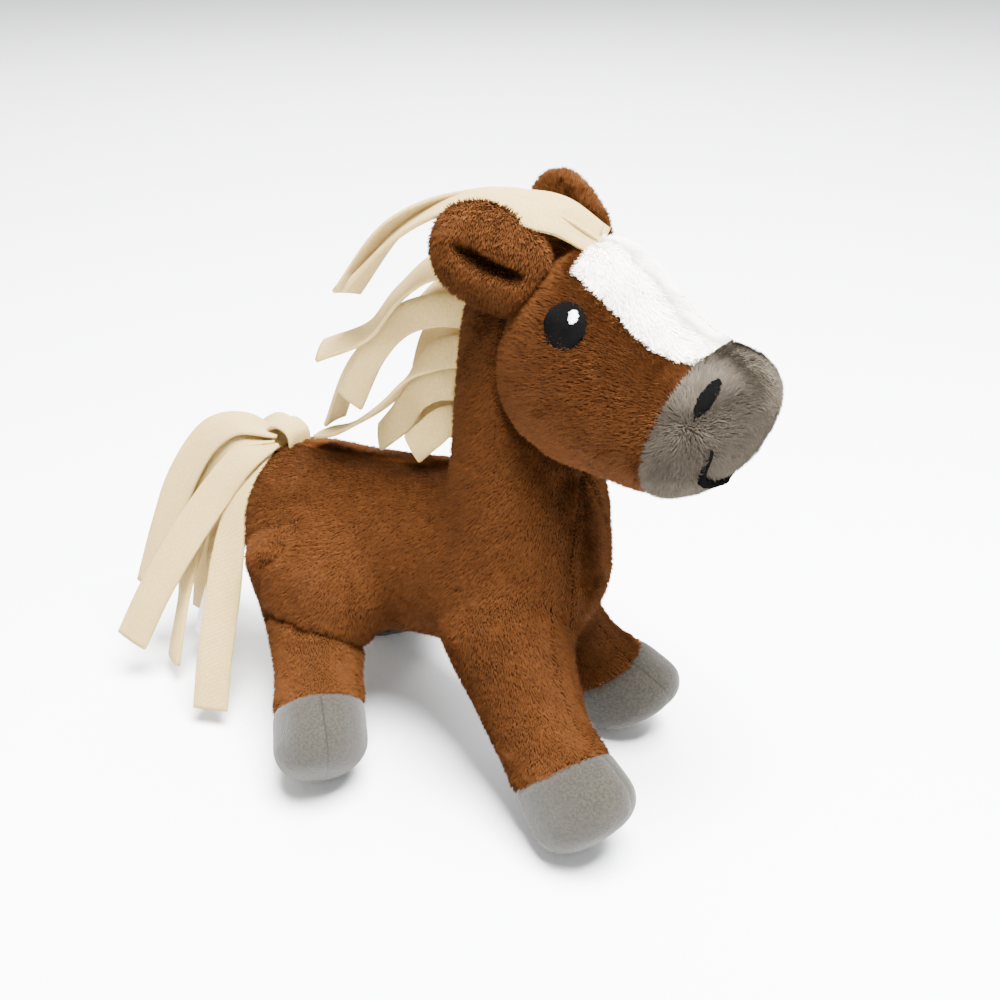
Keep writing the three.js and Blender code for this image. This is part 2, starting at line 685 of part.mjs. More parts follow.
// Tail: a folded loop on the rump, and strips that hang from the seam behind it
const dockShare = 0.04;
const dock = torso.point(dockShare, Math.PI / 2);
const loopShares = [[0, -0.3], [-0.35, 0.5], [0.05, 1], [0.55, 0.7], [0.6, -0.3]];
const loopRoute = loopShares.map(([along, up]) => [
  (along * tailLoopLength) / tailReach,
  0,
  (up * tailLoopHeight) / tailReach,
]);
const loopFaces = [[-1, 0, 0], [-1, 0, 0.3], [0, 0, 1], [1, 0, 0.3], [1, 0, 0]];
addStrip("tail_loop", dock, tailReach, { route: loopRoute, faces: loopFaces }, stripWidth);
const tailShares = [
  {
    route: [[-0.02, -0.01, 0.02], [-0.13, -0.08, 0.06], [-0.22, -0.14, 0.02], [-0.32, -0.21, -0.15], [-0.38, -0.27, -0.35], [-0.43, -0.34, -0.59]],
    faces: [[-0.5, 0, 1], [-0.2, -0.4, 1], [0.1, -0.8, 0.6], [0.2, -0.85, 0.45], [0.1, -0.9, 0.3], [0, -0.9, 0.2]],
  },
  {
    route: [[-0.03, -0.02, 0], [-0.12, -0.1, 0.01], [-0.23, -0.17, -0.17], [-0.27, -0.25, -0.4], [-0.25, -0.34, -0.61], [-0.25, -0.41, -0.81]],
    faces: [[-0.5, 0, 1], [-0.2, -0.6, 0.8], [0.1, -0.85, 0.5], [-0.1, -0.9, 0.3], [-0.5, -0.8, 0.2], [-0.5, -0.9, 0.2]],
  },
  {
    route: [[0, -0.05, 0.01], [-0.05, -0.14, -0.02], [-0.13, -0.24, -0.16], [-0.2, -0.34, -0.32], [-0.28, -0.43, -0.51], [-0.35, -0.51, -0.71]],
    faces: [[-0.5, -0.3, 1], [0, -0.8, 0.6], [0.3, -0.8, 0.5], [0.35, -0.8, 0.5], [0.35, -0.8, 0.5], [0.35, -0.8, 0.5]],
  },
  {
    route: [[-0.02, -0.06, -0.02], [-0.04, -0.18, -0.13], [-0.02, -0.28, -0.28], [0.02, -0.38, -0.46], [0.06, -0.48, -0.64], [0.09, -0.55, -0.81]],
    faces: [[-0.6, -0.5, 0.6], [-0.3, -0.9, 0.2], [0.1, -0.95, 0.2], [0.4, -0.85, 0.3], [0.4, -0.85, 0.3], [0.4, -0.85, 0.3]],
  },
  {
    route: [[-0.05, -0.02, -0.05], [-0.14, -0.11, -0.17], [-0.17, -0.2, -0.37], [-0.13, -0.27, -0.56]],
    faces: [[-0.9, 0, 0.4], [-0.6, -0.7, 0.3], [-0.2, -0.95, 0.1], [0, -1, 0.1]],
  },
  {
    route: [[-0.05, 0.02, -0.05], [-0.25, -0.02, -0.22], [-0.33, -0.09, -0.41], [-0.34, -0.14, -0.59], [-0.33, -0.18, -0.73]],
    faces: [[-0.9, 0, 0.4], [-0.6, -0.6, 0.5], [-0.3, -0.9, 0.3], [-0.2, -0.95, 0.2], [-0.2, -0.95, 0.2]],
  },
  {
    route: [[-0.03, 0.05, 0], [-0.14, 0.07, 0], [-0.27, 0.1, -0.18], [-0.35, 0.12, -0.4], [-0.36, 0.13, -0.62]],
    faces: [[-0.5, 0, 1], [-0.2, -0.4, 0.9], [0, -0.85, 0.5], [-0.2, -0.9, 0.3], [-0.3, -0.9, 0.2]],
  },
];
tailShares.forEach((lock, i) => addStrip("tail_strip_" + (i + 1), dock, tailReach, lock, tailStripWidth));

// Care label: a bare satin tab sewn in under the tail
const labelShares = {
  route: [[-0.1, -0.03, -0.12], [-0.22, -0.12, -0.35], [-0.27, -0.33, -0.75], [-0.29, -0.49, -1.14]],
  faces: [[-1, 0, 0.2], [-0.8, -0.6, 0.3], [-0.5, -0.8, 0.4], [-0.4, -0.9, 0.4]],
};
addStrip("care_label", dock, labelReach, labelShares, labelWidth, labelThickness, colours.label);

// The origin is the middle of the box round the toy, on the floor
const box = new THREE.Box3().setFromObject(horse);
const middle = box.getCenter(new THREE.Vector3());
horse.position.set(-middle.x, -middle.y, -box.min.z);

export default horse;
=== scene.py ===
"""A stuffed toy horse: plush skins with a real pile, knit hooves, fleece mane and tail, and embroidery.

Everything is in metres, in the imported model's frame: +X towards the nose, +Y the horse's left, +Z up.
"""

from __future__ import annotations

import json
import logging
import math
from dataclasses import dataclass, field
from enum import Enum

import bpy
import numpy as np
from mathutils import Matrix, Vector
from mathutils.bvhtree import BVHTree
from mathutils.kdtree import KDTree

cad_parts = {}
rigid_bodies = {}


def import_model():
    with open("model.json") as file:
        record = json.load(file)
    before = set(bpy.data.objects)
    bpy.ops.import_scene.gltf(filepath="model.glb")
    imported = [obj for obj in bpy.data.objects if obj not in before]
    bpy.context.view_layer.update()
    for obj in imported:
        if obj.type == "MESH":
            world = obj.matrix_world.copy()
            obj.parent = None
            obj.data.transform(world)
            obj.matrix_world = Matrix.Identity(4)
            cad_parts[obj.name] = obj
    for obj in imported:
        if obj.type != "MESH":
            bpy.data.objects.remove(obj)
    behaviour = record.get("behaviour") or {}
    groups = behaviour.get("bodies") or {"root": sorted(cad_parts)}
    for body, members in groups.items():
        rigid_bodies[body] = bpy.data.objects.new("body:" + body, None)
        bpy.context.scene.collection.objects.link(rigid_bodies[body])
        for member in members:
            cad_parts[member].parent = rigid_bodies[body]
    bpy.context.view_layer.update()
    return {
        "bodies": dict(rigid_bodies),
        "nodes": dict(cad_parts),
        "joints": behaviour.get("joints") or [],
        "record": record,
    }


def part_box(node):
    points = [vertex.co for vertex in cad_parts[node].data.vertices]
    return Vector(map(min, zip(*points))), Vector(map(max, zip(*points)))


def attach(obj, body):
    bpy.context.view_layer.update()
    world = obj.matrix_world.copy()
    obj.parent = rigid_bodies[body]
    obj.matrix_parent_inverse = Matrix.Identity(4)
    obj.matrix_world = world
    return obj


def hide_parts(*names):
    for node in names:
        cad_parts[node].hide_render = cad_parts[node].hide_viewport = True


log = logging.getLogger("plush_horse")

MM = 0.001
BODY = "root"
SIDES = ("right", "left")
CORNERS = ("front_right", "front_left", "rear_right", "rear_left")
TO_LEFT = np.array([[0.0, 1.0, 0.0]])

# Stands in for no length at all where something is divided by it
TINY = 1e-12

# A ray towards the cloth starts this far outside it, and looks no further than its reach
RAY_START = 30.0 * MM
RAY_REACH = 50.0 * MM

# The numbers of a pile's tones, darkest first, and how light each is beside the middle colour
TONES = (1, 2, 3, 4, 5)
LIVELY = (0.7, 0.85, 1.0, 1.15, 1.32)
EVEN = (0.78, 0.9, 1.0, 1.1, 1.22)
PALE = (0.93, 0.97, 1.0, 1.0, 1.0)


# Where each strip runs and which way it faces, in millimetres from the rump on the floor
STRIPS = {
    "mane_strip_1": (
        ((91.4, 0, 152), (72.8, -1.8, 153.2), (59.6, -4.8, 143), (50.6, -7.8, 131), (33.8, -10.8, 122)),
        ((-0.2, -0.9, 0.4), (-0.3, -0.7, 0.6), (-0.4, -0.5, 0.75), (-0.4, -0.5, 0.75),
         (-0.3, -0.5, 0.8)),
    ),
    "mane_strip_2": (
        ((87.4, -0.8, 141.5), (71.8, -3.2, 140.3), (61, -5.6, 135.5), (53.2, -8.7, 126.5),
         (44.2, -10.4, 108.5)),
        ((0, -1, 0.1), (0, -1, 0.2), (0.1, -0.9, 0.3), (0.2, -0.9, 0.3), (0.2, -0.9, 0.3)),
    ),
    "mane_strip_3": (
        ((88.2, 0.9, 146), (71.4, 2.1, 144.8), (54.6, 2.1, 134.6), (39, 0.9, 118.4), (24.6, 3.3, 92)),
        ((0, -1, 0.1), (-0.4, -0.7, 0.5), (-0.7, -0.07, 0.7), (-0.7, -0.07, 0.7), (-0.8, 0, 0.5)),
    ),
    "mane_strip_4": (
        ((86.1, 0, 130), (72.3, -1.8, 127), (63.3, -3, 120.4), (53.1, -3, 108.4), (32.1, 0, 92.2),
         (21.3, 1.8, 87.4)),
        ((0, -1, 0.1), (-0.2, -0.9, 0.3), (-0.6, -0.4, 0.7), (-0.7, -0.07, 0.7), (-0.6, 0, 0.8),
         (-0.4, 0, 0.9)),
    ),
    "mane_strip_5": (
        ((85.5, -0.8, 119.7), (72.3, -3.2, 117.9), (63.3, -2.6, 111.9), (56.1, -0.8, 102.9),
         (44.7, 2.2, 92.1)),
        ((0, -1, 0.1), (0, -1, 0.2), (0.2, -0.9, 0.4), (0.3, -0.8, 0.5), (0.2, -0.7, 0.7)),
    ),
    "mane_strip_6": (
        ((85.3, 0.9, 113.5), (67.9, 4.5, 108.7), (58.3, 6.3, 101.5), (55.3, 7.5, 91.9)),
        ((0, -1, 0.1), (0, -1, 0.2), (0, -1, 0.1), (0.2, -1, 0)),
    ),
    "mane_strip_7": (
        ((85.3, -0.8, 107), (76.3, -4.4, 107.6), (70.9, -6.2, 102.8), (64.9, -6.8, 96.8)),
        ((0, -1, 0.1), (0.3, -0.8, 0.5), (0.5, -0.6, 0.6), (0.2, -0.9, 0.4)),
    ),
    "mane_strip_8": (
        ((86.9, 2.6, 138), (70.7, 6.2, 133.8), (61.7, 9.8, 127.2), (56.3, 11.6, 115.8),
         (54.5, 11.6, 105)),
        ((0, -1, 0.1), (0, -1, 0.2), (0.1, -1, 0.2), (0.2, -1, 0.1), (0.2, -1, 0)),
    ),
    "forelock_strip_1": (
        ((123.9, -1.7, 169.2), (117.2, -6.7, 173.8), (111.3, -11.8, 175.5), (93.6, -15.1, 177.6),
         (71.8, -15.1, 167.5), (50, -14.3, 147.3)),
        ((0.3, -0.6, 0.8), (0.3, -0.6, 0.8), (0, -0.5, 1), (-0.3, -0.4, 0.9), (-0.6, -0.4, 0.7),
         (-0.7, -0.4, 0.6)),
    ),
    "forelock_strip_2": (
        ((123.9, 2.5, 169.2), (113.8, -2.5, 176.3), (103.7, -5.9, 178.4), (86.9, -8.4, 176.7),
         (65.1, -10.1, 165.8), (43.2, -8.4, 141.5)),
        ((0.3, 0, 1), (0.1, -0.2, 1), (-0.1, 0, 1), (-0.4, 0.2, 0.9), (-0.7, 0.3, 0.6),
         (-0.8, 0.4, 0.4)),
    ),
    "tail_loop": (
        ((4.9, 0, 79), (1, 0, 84.2), (5.4, 0, 87.4), (10.9, 0, 85.5), (11.5, 0, 79)),
        ((-1, 0, 0), (-1, 0, 0.3), (0, 0, 1), (1, 0, 0.3), (1, 0, 0)),
    ),
    "tail_strip_1": (
        ((3, -0.9, 82.8), (-7.1, -7.4, 86.4), (-15.4, -12.9, 82.8), (-24.6, -19.3, 67.1),
         (-30.1, -24.8, 48.7), (-34.7, -31.3, 26.6)),
        ((-0.5, 0, 1), (-0.2, -0.4, 1), (0.1, -0.8, 0.6), (0.2, -0.85, 0.45), (0.1, -0.9, 0.3),
         (0, -0.9, 0.2)),
    ),
    "tail_strip_2": (
        ((2.1, -1.8, 80.9), (-6.2, -9.2, 81.8), (-16.3, -15.6, 65.3), (-20, -23, 44.1),
         (-18.1, -31.3, 24.8), (-18.1, -37.7, 6.4)),
        ((-0.5, 0, 1), (-0.2, -0.6, 0.8), (0.1, -0.85, 0.5), (-0.1, -0.9, 0.3), (-0.5, -0.8, 0.2),
         (-0.5, -0.9, 0.2)),
    ),
    "tail_strip_3": (
        ((4.9, -4.6, 81.8), (0.3, -12.9, 79.1), (-7.1, -22.1, 66.2), (-13.5, -31.3, 51.5),
         (-20.9, -39.6, 34), (-27.3, -46.9, 15.6)),
        ((-0.5, -0.3, 1), (0, -0.8, 0.6), (0.3, -0.8, 0.5), (0.35, -0.8, 0.5), (0.35, -0.8, 0.5),
         (0.35, -0.8, 0.5)),
    ),
    "tail_strip_4": (
        ((3, -5.5, 79.1), (1.2, -16.6, 69), (3, -25.8, 55.2), (6.7, -35, 38.6), (10.4, -44.2, 22),
         (13.1, -50.6, 6.4)),
        ((-0.6, -0.5, 0.6), (-0.3, -0.9, 0.2), (0.1, -0.95, 0.2), (0.4, -0.85, 0.3), (0.4, -0.85, 0.3),
         (0.4, -0.85, 0.3)),
    ),
    "tail_strip_5": (
        ((0.3, -1.8, 76.3), (-8, -10.1, 65.3), (-10.8, -18.4, 46.9), (-7.1, -24.8, 29.4)),
        ((-0.9, 0, 0.4), (-0.6, -0.7, 0.3), (-0.2, -0.95, 0.1), (0, -1, 0.1)),
    ),
    "tail_strip_6": (
        ((0.3, 1.8, 76.3), (-18.1, -1.8, 60.7), (-25.5, -8.3, 43.2), (-26.4, -12.9, 26.6),
         (-25.5, -16.6, 13.8)),
        ((-0.9, 0, 0.4), (-0.6, -0.6, 0.5), (-0.3, -0.9, 0.3), (-0.2, -0.95, 0.2), (-0.2, -0.95, 0.2)),
    ),
    "tail_strip_7": (
        ((2.1, 4.6, 80.9), (-8, 6.4, 80.9), (-20, 9.2, 64.4), (-27.3, 11, 44.1), (-28.3, 12, 23.9)),
        ((-0.5, 0, 1), (-0.2, -0.4, 0.9), (0, -0.85, 0.5), (-0.2, -0.9, 0.3), (-0.3, -0.9, 0.2)),
    ),
    "care_label": (
        ((-1.1, -1.8, 73.7), (-8.3, -7.2, 59.9), (-11.3, -19.8, 35.9), (-12.5, -29.4, 12.5)),
        ((-1, 0, 0.2), (-0.8, -0.6, 0.3), (-0.5, -0.8, 0.4), (-0.4, -0.9, 0.4)),
    ),
}


@dataclass(frozen=True)
class Shade:
    """A colour as a dyer's card gives it.

    Attributes:
        red: Its red, 0 to 255.
        green: Its green.
        blue: Its blue.
    """

    red: int
    green: int
    blue: int

    def linear(self, gain: float = 1.0) -> tuple[float, float, float, float]:
        """The colour in the renderer's own units.

        Args:
            gain: How much lighter than the card.

        Returns:
            Red, green, blue and an opaque alpha.
        """
        parts = [gain * ((c / 255 + 0.055) / 1.055) ** 2.4 for c in (self.red, self.green, self.blue)]
        return (*(min(1.0, part) for part in parts), 1.0)


CHESTNUT = Shade(62, 34, 11)
CHESTNUT_ROOT = Shade(50, 27, 8)
CHESTNUT_DEEP = Shade(34, 18, 5)
WHITE = Shade(246, 241, 233)
WHITE_ROOT = Shade(246, 243, 238)
WHITE_DEEP = Shade(236, 233, 228)
GREY = Shade(64, 58, 50)
GREY_ROOT = Shade(58, 53, 46)
GREY_DEEP = Shade(46, 42, 36)
KNIT = Shade(42, 39, 32)
KNIT_DEEP = Shade(30, 27, 22)
FLEECE = Shade(193, 166, 106)
FLEECE_DEEP = Shade(176, 147, 88)
BLACK = Shade(12, 12, 12)
BLACK_DEEP = Shade(4, 4, 4)
THREAD_WHITE = Shade(240, 240, 238)
THREAD_WHITE_DEEP = Shade(220, 220, 218)
SATIN = Shade(244, 244, 242)
SATIN_DEEP = Shade(232, 232, 230)
FIBRE = Shade(240, 238, 232)
FIBRE_DEEP = Shade(222, 219, 212)


class Graph:
    """A node tree with short ways to add and join nodes."""

    def __init__(self, tree: bpy.types.NodeTree) -> None:
        """Takes the tree to build in."""
        self.tree = tree

    def put(self, value: object, socket: bpy.types.NodeSocket) -> None:
        """Gives a socket its value, or joins it to another node's output.

        Args:
            value: A plain value or an output socket.
            socket: The input socket.
        """
        if isinstance(value, bpy.types.NodeSocket):
            self.tree.links.new(value, socket)
        else:
            socket.default_value = value

    def add(
        self, kind: str, values: dict[str | int, object] | None = None, **settings: object
    ) -> bpy.types.Node:
        """Adds a node.

        Args:
            kind: The node's type name.
            values: Input names or numbers, with a value or an output socket for each.
            settings: The node's own properties.

        Returns:
            The new node.
        """
        node = self.tree.nodes.new(kind)
        for name, value in settings.items():
            setattr(node, name, value)
        for name, value in (values or {}).items():
            self.put(value, node.inputs[name])
        return node

    def maths(self, operation: str, *values: object, clamp: bool = False) -> bpy.types.NodeSocket:
        """Adds a Math node and returns its output."""
        node = self.add("ShaderNodeMath", dict(enumerate(values)), operation=operation, use_clamp=clamp)
        return node.outputs[0]

    def vectors(self, operation: str, *values: object) -> bpy.types.NodeSocket:
        """Adds a Vector Math node and returns its vector output."""
        node = self.add("ShaderNodeVectorMath", dict(enumerate(values)), operation=operation)
        return node.outputs["Vector"]

    def scaled(self, vector: bpy.types.NodeSocket, scale: object) -> bpy.types.NodeSocket:
        """Adds a Vector Math node that scales a vector, and returns its output."""
        node = self.add("ShaderNodeVectorMath", {0: vector, "Scale": scale}, operation="SCALE")
        return node.outputs["Vector"]

    def chance(self, kind: str, low: object, high: object, seed: object = 0) -> bpy.types.NodeSocket:
        """Adds a Random Value node.

        Args:
            kind: FLOAT or FLOAT_VECTOR.
            low: The lowest value.
            high: The highest value.
            seed: The seed, a number or an output socket.

        Returns:
            The random value of each instance.
        """
        first = 0 if kind == "FLOAT_VECTOR" else 2
        values = {first: low, first + 1: high, "Seed": seed}
        return self.add("FunctionNodeRandomValue", values, data_type=kind).outputs[first // 2]

    def stored(self, name: str, kind: str) -> bpy.types.NodeSocket:
        """Adds a Named Attribute node and returns its value."""
        return self.add("GeometryNodeInputNamedAttribute", {"Name": name}, data_type=kind).outputs[0]


def opened(tree: bpy.types.NodeTree) -> tuple[Graph, dict[str, bpy.types.NodeSocket], bpy.types.Node]:
    """Opens a node group for building.

    Args:
        tree: The group.

    Returns:
        Its graph, its inputs by name, and its output node.
    """
    graph = Graph(tree)
    source, sink = graph.add("NodeGroupInput"), graph.add("NodeGroupOutput")
    return graph, {socket.name: socket for socket in source.outputs if socket.name}, sink


def shader_group(
    name: str, inputs: dict[str, float], output: str
) -> tuple[Graph, dict[str, bpy.types.NodeSocket], bpy.types.Node]:
    """Starts a shader node group.

    Args:
        name: The group's name.
        inputs: Each number input with its default; a vector input Vector is always first.
        output: The name of its one output, a number.

    Returns:
        The graph, its inputs by name, and its output node.
    """
    tree = bpy.data.node_groups.new(name, "ShaderNodeTree")
    tree.interface.new_socket("Vector", in_out="INPUT", socket_type="NodeSocketVector")
    for label, value in inputs.items():
        socket = tree.interface.new_socket(label, in_out="INPUT", socket_type="NodeSocketFloat")
        socket.default_value = value
    tree.interface.new_socket(output, in_out="OUTPUT", socket_type="NodeSocketFloat")
    return opened(tree)


class Effects:
    """Shader effects that several finishes share, each built once.

    Attributes:
        COARSE_NAP: How fine the tufts of a nap are, beside its single fibres.
        WALE: How much wider a knit's wales are than its courses.
    """

    COARSE_NAP = 420.0
    WALE = 1.4

    def __init__(self) -> None:
        """Builds the groups."""
        self.mottle = self._mottle()
        self.nap = self._nap()
        self.weave = self._weave()

    def _mottle(self) -> bpy.types.NodeTree:
        """Cloudy unevenness of a dyed cloth, as a factor from 0 to 1.

        Returns:
            The node group.
        """
        graph, given, sink = shader_group("Mottle", {"Scale": 120.0, "Contrast": 1.0}, "Factor")
        values = {"Vector": given["Vector"], "Scale": given["Scale"], "Detail": 5.0}
        noise = graph.add("ShaderNodeTexNoise", values)
        off = graph.maths("SUBTRACT", noise.outputs[0], 0.5)
        spread = graph.maths("MULTIPLY", off, given["Contrast"])
        graph.tree.links.new(graph.maths("ADD", spread, 0.5, clamp=True), sink.inputs["Factor"])
        return graph.tree

    def _nap(self) -> bpy.types.NodeTree:
        """The short raised fibres of fleece and brushed knit, as a height.

        Returns:
            The node group.
        """
        graph, given, sink = shader_group("Nap", {"Scale": 1500.0, "Stretch": 0.35}, "Height")
        scale = graph.add("ShaderNodeCombineXYZ", {"X": 1.0, "Y": given["Stretch"], "Z": 1.0})
        drawn = graph.vectors("MULTIPLY", given["Vector"], scale.outputs[0])
        fine = graph.add("ShaderNodeTexNoise", {"Vector": drawn, "Scale": given["Scale"], "Detail": 3.0})
        values = {"Vector": given["Vector"], "Scale": self.COARSE_NAP, "Detail": 4.0}
        coarse = graph.add("ShaderNodeTexNoise", values)
        both = graph.maths("ADD", fine.outputs[0], coarse.outputs[0])
        graph.tree.links.new(graph.maths("MULTIPLY", both, 0.5), sink.inputs["Height"])
        return graph.tree

    def _weave(self) -> bpy.types.NodeTree:
        """Crossing courses and wales of a fine knit, as a height from 0 to 1.

        Returns:
            The node group.
        """
        graph, given, sink = shader_group("Weave", {"Pitch": 0.6 * MM}, "Height")
        apart = graph.add("ShaderNodeSeparateXYZ", {"Vector": given["Vector"]})
        turns = []
        for axis, share in (("X", 1.0), ("Y", self.WALE)):
            steps = graph.maths("DIVIDE", apart.outputs[axis], given["Pitch"])
            wave = graph.maths("SINE", graph.maths("MULTIPLY", steps, math.tau / share))
            turns.append(graph.maths("ABSOLUTE", wave))
        product = graph.maths("MULTIPLY", *turns)
        graph.tree.links.new(graph.maths("POWER", product, 0.5), sink.inputs["Height"])
        return graph.tree


@dataclass(frozen=True)
class Cloth:
    """A cloth finish: two tones mottled together, with a nap or a knit in its surface.

    Attributes:
        name: The material's name.
        tone: Its main colour.
        deep: Its darker colour, which also shades its seams.
        roughness: How matt it is.
        sheen: How much its fuzz catches the light.
        sheen_roughness: How widely it does.
        mottle_scale: How fine the mottle is.
        contrast: How strong the mottle is.
        nap_scale: How fine the nap is.
        nap_depth: How deep the nap is.
        bump: How strongly the nap and the knit turn the light.
        shine: How much its fibres gleam.
        knit: Whether it shows courses and wales.
        knit_depth: How deep they are beside the nap.
        seam_width: How far a seam's shadow reaches, 0 for none.
        seam_shadow: How strong that shadow is.
        seam_gain: How dark it is beside the darker colour.
    """

    name: str
    tone: Shade
    deep: Shade
    roughness: float = 0.95
    sheen: float = 0.25
    sheen_roughness: float = 0.6
    mottle_scale: float = 140.0
    contrast: float = 1.2
    nap_scale: float = 1500.0
    nap_depth: float = 0.3 * MM
    bump: float = 0.7
    shine: float = 0.2
    knit: bool = False
    knit_depth: float = 0.8
    seam_width: float = 0.0
    seam_shadow: float = 0.85
    seam_gain: float = 0.35

    def material(self, effects: Effects) -> bpy.types.Material:
        """Builds the material.

        Args:
            effects: The shared shader groups.

        Returns:
            The cloth's material.
        """
        settings = {
            "Roughness": self.roughness,
            "Sheen Weight": self.sheen,
            "Sheen Roughness": self.sheen_roughness,
            "Specular IOR Level": self.shine,
        }
        material, graph, shader = bare_material(self.name, settings)
        place = graph.add("ShaderNodeTexCoord").outputs["Object"]
        values = {"Vector": place, "Scale": self.mottle_scale, "Contrast": self.contrast}
        mottle = graph.add("ShaderNodeGroup", node_tree=effects.mottle)
        for name, value in values.items():
            graph.put(value, mottle.inputs[name])
        colour = self._mixed(graph, mottle.outputs[0], self.deep.linear(), self.tone.linear())
        if self.seam_width:
            colour = self._mixed(graph, self._seam_line(graph), colour, self.deep.linear(self.seam_gain))
        graph.put(colour, shader.inputs["Base Color"])
        nap = graph.add("ShaderNodeGroup", node_tree=effects.nap)
        graph.put(place, nap.inputs["Vector"])
        graph.put(self.nap_scale, nap.inputs["Scale"])
        height = nap.outputs[0]
        if self.knit:
            weave = graph.add("ShaderNodeGroup", node_tree=effects.weave)
            path = graph.add("ShaderNodeAttribute", attribute_name="cloth").outputs["Vector"]
            graph.put(path, weave.inputs["Vector"])
            height = graph.maths("ADD", height, graph.maths("MULTIPLY", weave.outputs[0], self.knit_depth))
        values = {"Strength": self.bump, "Distance": self.nap_depth, "Height": height}
        graph.put(graph.add("ShaderNodeBump", values).outputs[0], shader.inputs["Normal"])
        return material

    def _mixed(self, graph: Graph, share: object, first: object, second: object) -> bpy.types.NodeSocket:
        """Mixes two colours by a share of the second."""
        values = {"Factor": share, 6: first, 7: second}
        return graph.add("ShaderNodeMix", values, data_type="RGBA").outputs[2]

    def _seam_line(self, graph: Graph) -> bpy.types.NodeSocket:
        """Where the cloth lies in a seam's shadow.

        Args:
            graph: The material's graph.

        Returns:
            The shadow's strength, greatest in the seam itself.
        """
        away = graph.add("ShaderNodeAttribute", attribute_name="away").outputs["Fac"]
        aside = graph.add("ShaderNodeAttribute", attribute_name="aside").outputs["Fac"]
        nearest = graph.maths("MINIMUM", away, graph.maths("ABSOLUTE", aside))
        line = graph.maths("SUBTRACT", 1.0, graph.maths("DIVIDE", nearest, self.seam_width), clamp=True)
        return graph.maths("MULTIPLY", line, self.seam_shadow)


@dataclass(frozen=True)
class Pile:
    """A pile: fibres of one length in five near tones.

    Attributes:
        name: The start of its materials' names.
        slot: The record's material slot.
        tone: Its middle colour.
        length: A fibre's full length.
        thickness: How thick a fibre is at its root.
        density: How many fibres stand on a square metre.
        rise: How upright they are.
        wander: How far they stray from the way they were brushed.
        ribs: How strongly the pile lies in rows.
        patchy: How far its tones gather in patches.
        gains: How light each tone is beside the middle colour.
        veil: How whitish the light on the fibres' sides is.
        roughness: How matt a fibre is.
        sheen: How much light its sides catch.
        sheen_roughness: How widely they do.
        sheen_gain: How light that sheen is beside the middle colour.
        shine: How much a fibre gleams.
    """

    name: str
    slot: str
    tone: Shade
    length: float
    thickness: float = 0.42 * MM
    density: float = 6.2e6
    rise: float = 1.1
    wander: float = 0.5
    ribs: float = 0.16
    patchy: float = 1.5
    gains: tuple[float, ...] = LIVELY
    veil: float = 0.0
    roughness: float = 0.75
    sheen: float = 0.11
    sheen_roughness: float = 0.6
    sheen_gain: float = 3.0
    shine: float = 0.05

    def materials(self) -> list[bpy.types.Material]:
        """Mixes the pile's tones.

        Returns:
            One material for each tone, darkest first.
        """
        found = []
        for number, gain in enumerate(self.gains, 1):
            settings = {
                "Base Color": self.tone.linear(gain),
                "Roughness": self.roughness,
                "Sheen Weight": self.sheen,
                "Sheen Roughness": self.sheen_roughness,
                "Sheen Tint": [part + self.veil * (1 - part) for part in self.tone.linear(self.sheen_gain)],
                "Specular IOR Level": self.shine,
            }
            found.append(bare_material(f"{self.name}_{number}", settings)[0])
        return found


def bare_material(
    name: str, settings: dict[str, object]
) -> tuple[bpy.types.Material, Graph, bpy.types.Node]:
    """Starts a material.

    Args:
        name: The material's name.
        settings: The shader's own values.

    Returns:
        The material, its graph and its Principled shader.
    """
    material = bpy.data.materials.new(name)
    material.use_nodes = True
    shader = material.node_tree.nodes["Principled BSDF"]
    for label, value in settings.items():
        shader.inputs[label].default_value = value
    return material, Graph(material.node_tree), shader


# Arrays and meshes


def arrays_of(mesh: bpy.types.Mesh) -> tuple[np.ndarray, np.ndarray]:
    """A mesh's points and triangles, with points that coincide joined.

    Args:
        mesh: The mesh to read.

    Returns:
        The points and the triangles' point numbers.
    """
    mesh.calc_loop_triangles()
    points = np.empty(len(mesh.vertices) * 3)
    mesh.vertices.foreach_get("co", points)
    corners = np.empty(len(mesh.loop_triangles) * 3, int)
    mesh.loop_triangles.foreach_get("vertices", corners)
    joined, index = np.unique(points.reshape(-1, 3).round(7), axis=0, return_inverse=True)
    return joined, index.reshape(-1)[corners].reshape(-1, 3)


def mesh_of(name: str, points: np.ndarray, faces: np.ndarray) -> bpy.types.Mesh:
    """A smooth-shaded mesh from arrays.

    Args:
        name: The mesh's name.
        points: Its points.
        faces: Its faces' point numbers, all with the same number of corners.

    Returns:
        The new mesh.
    """
    mesh = bpy.data.meshes.new(name)
    mesh.vertices.add(len(points))
    mesh.vertices.foreach_set("co", np.asarray(points, float).ravel())
    mesh.loops.add(faces.size)
    mesh.loops.foreach_set("vertex_index", faces.ravel())
    mesh.polygons.add(len(faces))
    mesh.polygons.foreach_set("loop_start", np.arange(0, faces.size, faces.shape[1]))
    mesh.update(calc_edges=True)
    mesh.shade_smooth()
    return mesh


def shown(name: str, data: bpy.types.ID) -> bpy.types.Object:
    """Links a new object to the scene.

    Args:
        name: The object's name.
        data: Its mesh, lamp or camera.

    Returns:
        The new object.
    """
    made = bpy.data.objects.new(name, data)
    bpy.context.scene.collection.objects.link(made)
    return made


def settled(obj: bpy.types.Object) -> bpy.types.Mesh:
    """Works out an object's modifiers.

    Args:
        obj: The object.

    Returns:
        What they give, as a mesh of its own.
    """
    bpy.context.view_layer.update()
    graph = bpy.context.evaluated_depsgraph_get()
    return bpy.data.meshes.new_from_object(obj.evaluated_get(graph), depsgraph=graph)


def discard(obj: bpy.types.Object) -> None:
    """Removes a working object and its mesh.

    Args:
        obj: The object.
    """
    mesh = obj.data
    bpy.data.objects.remove(obj)
    bpy.data.meshes.remove(mesh)


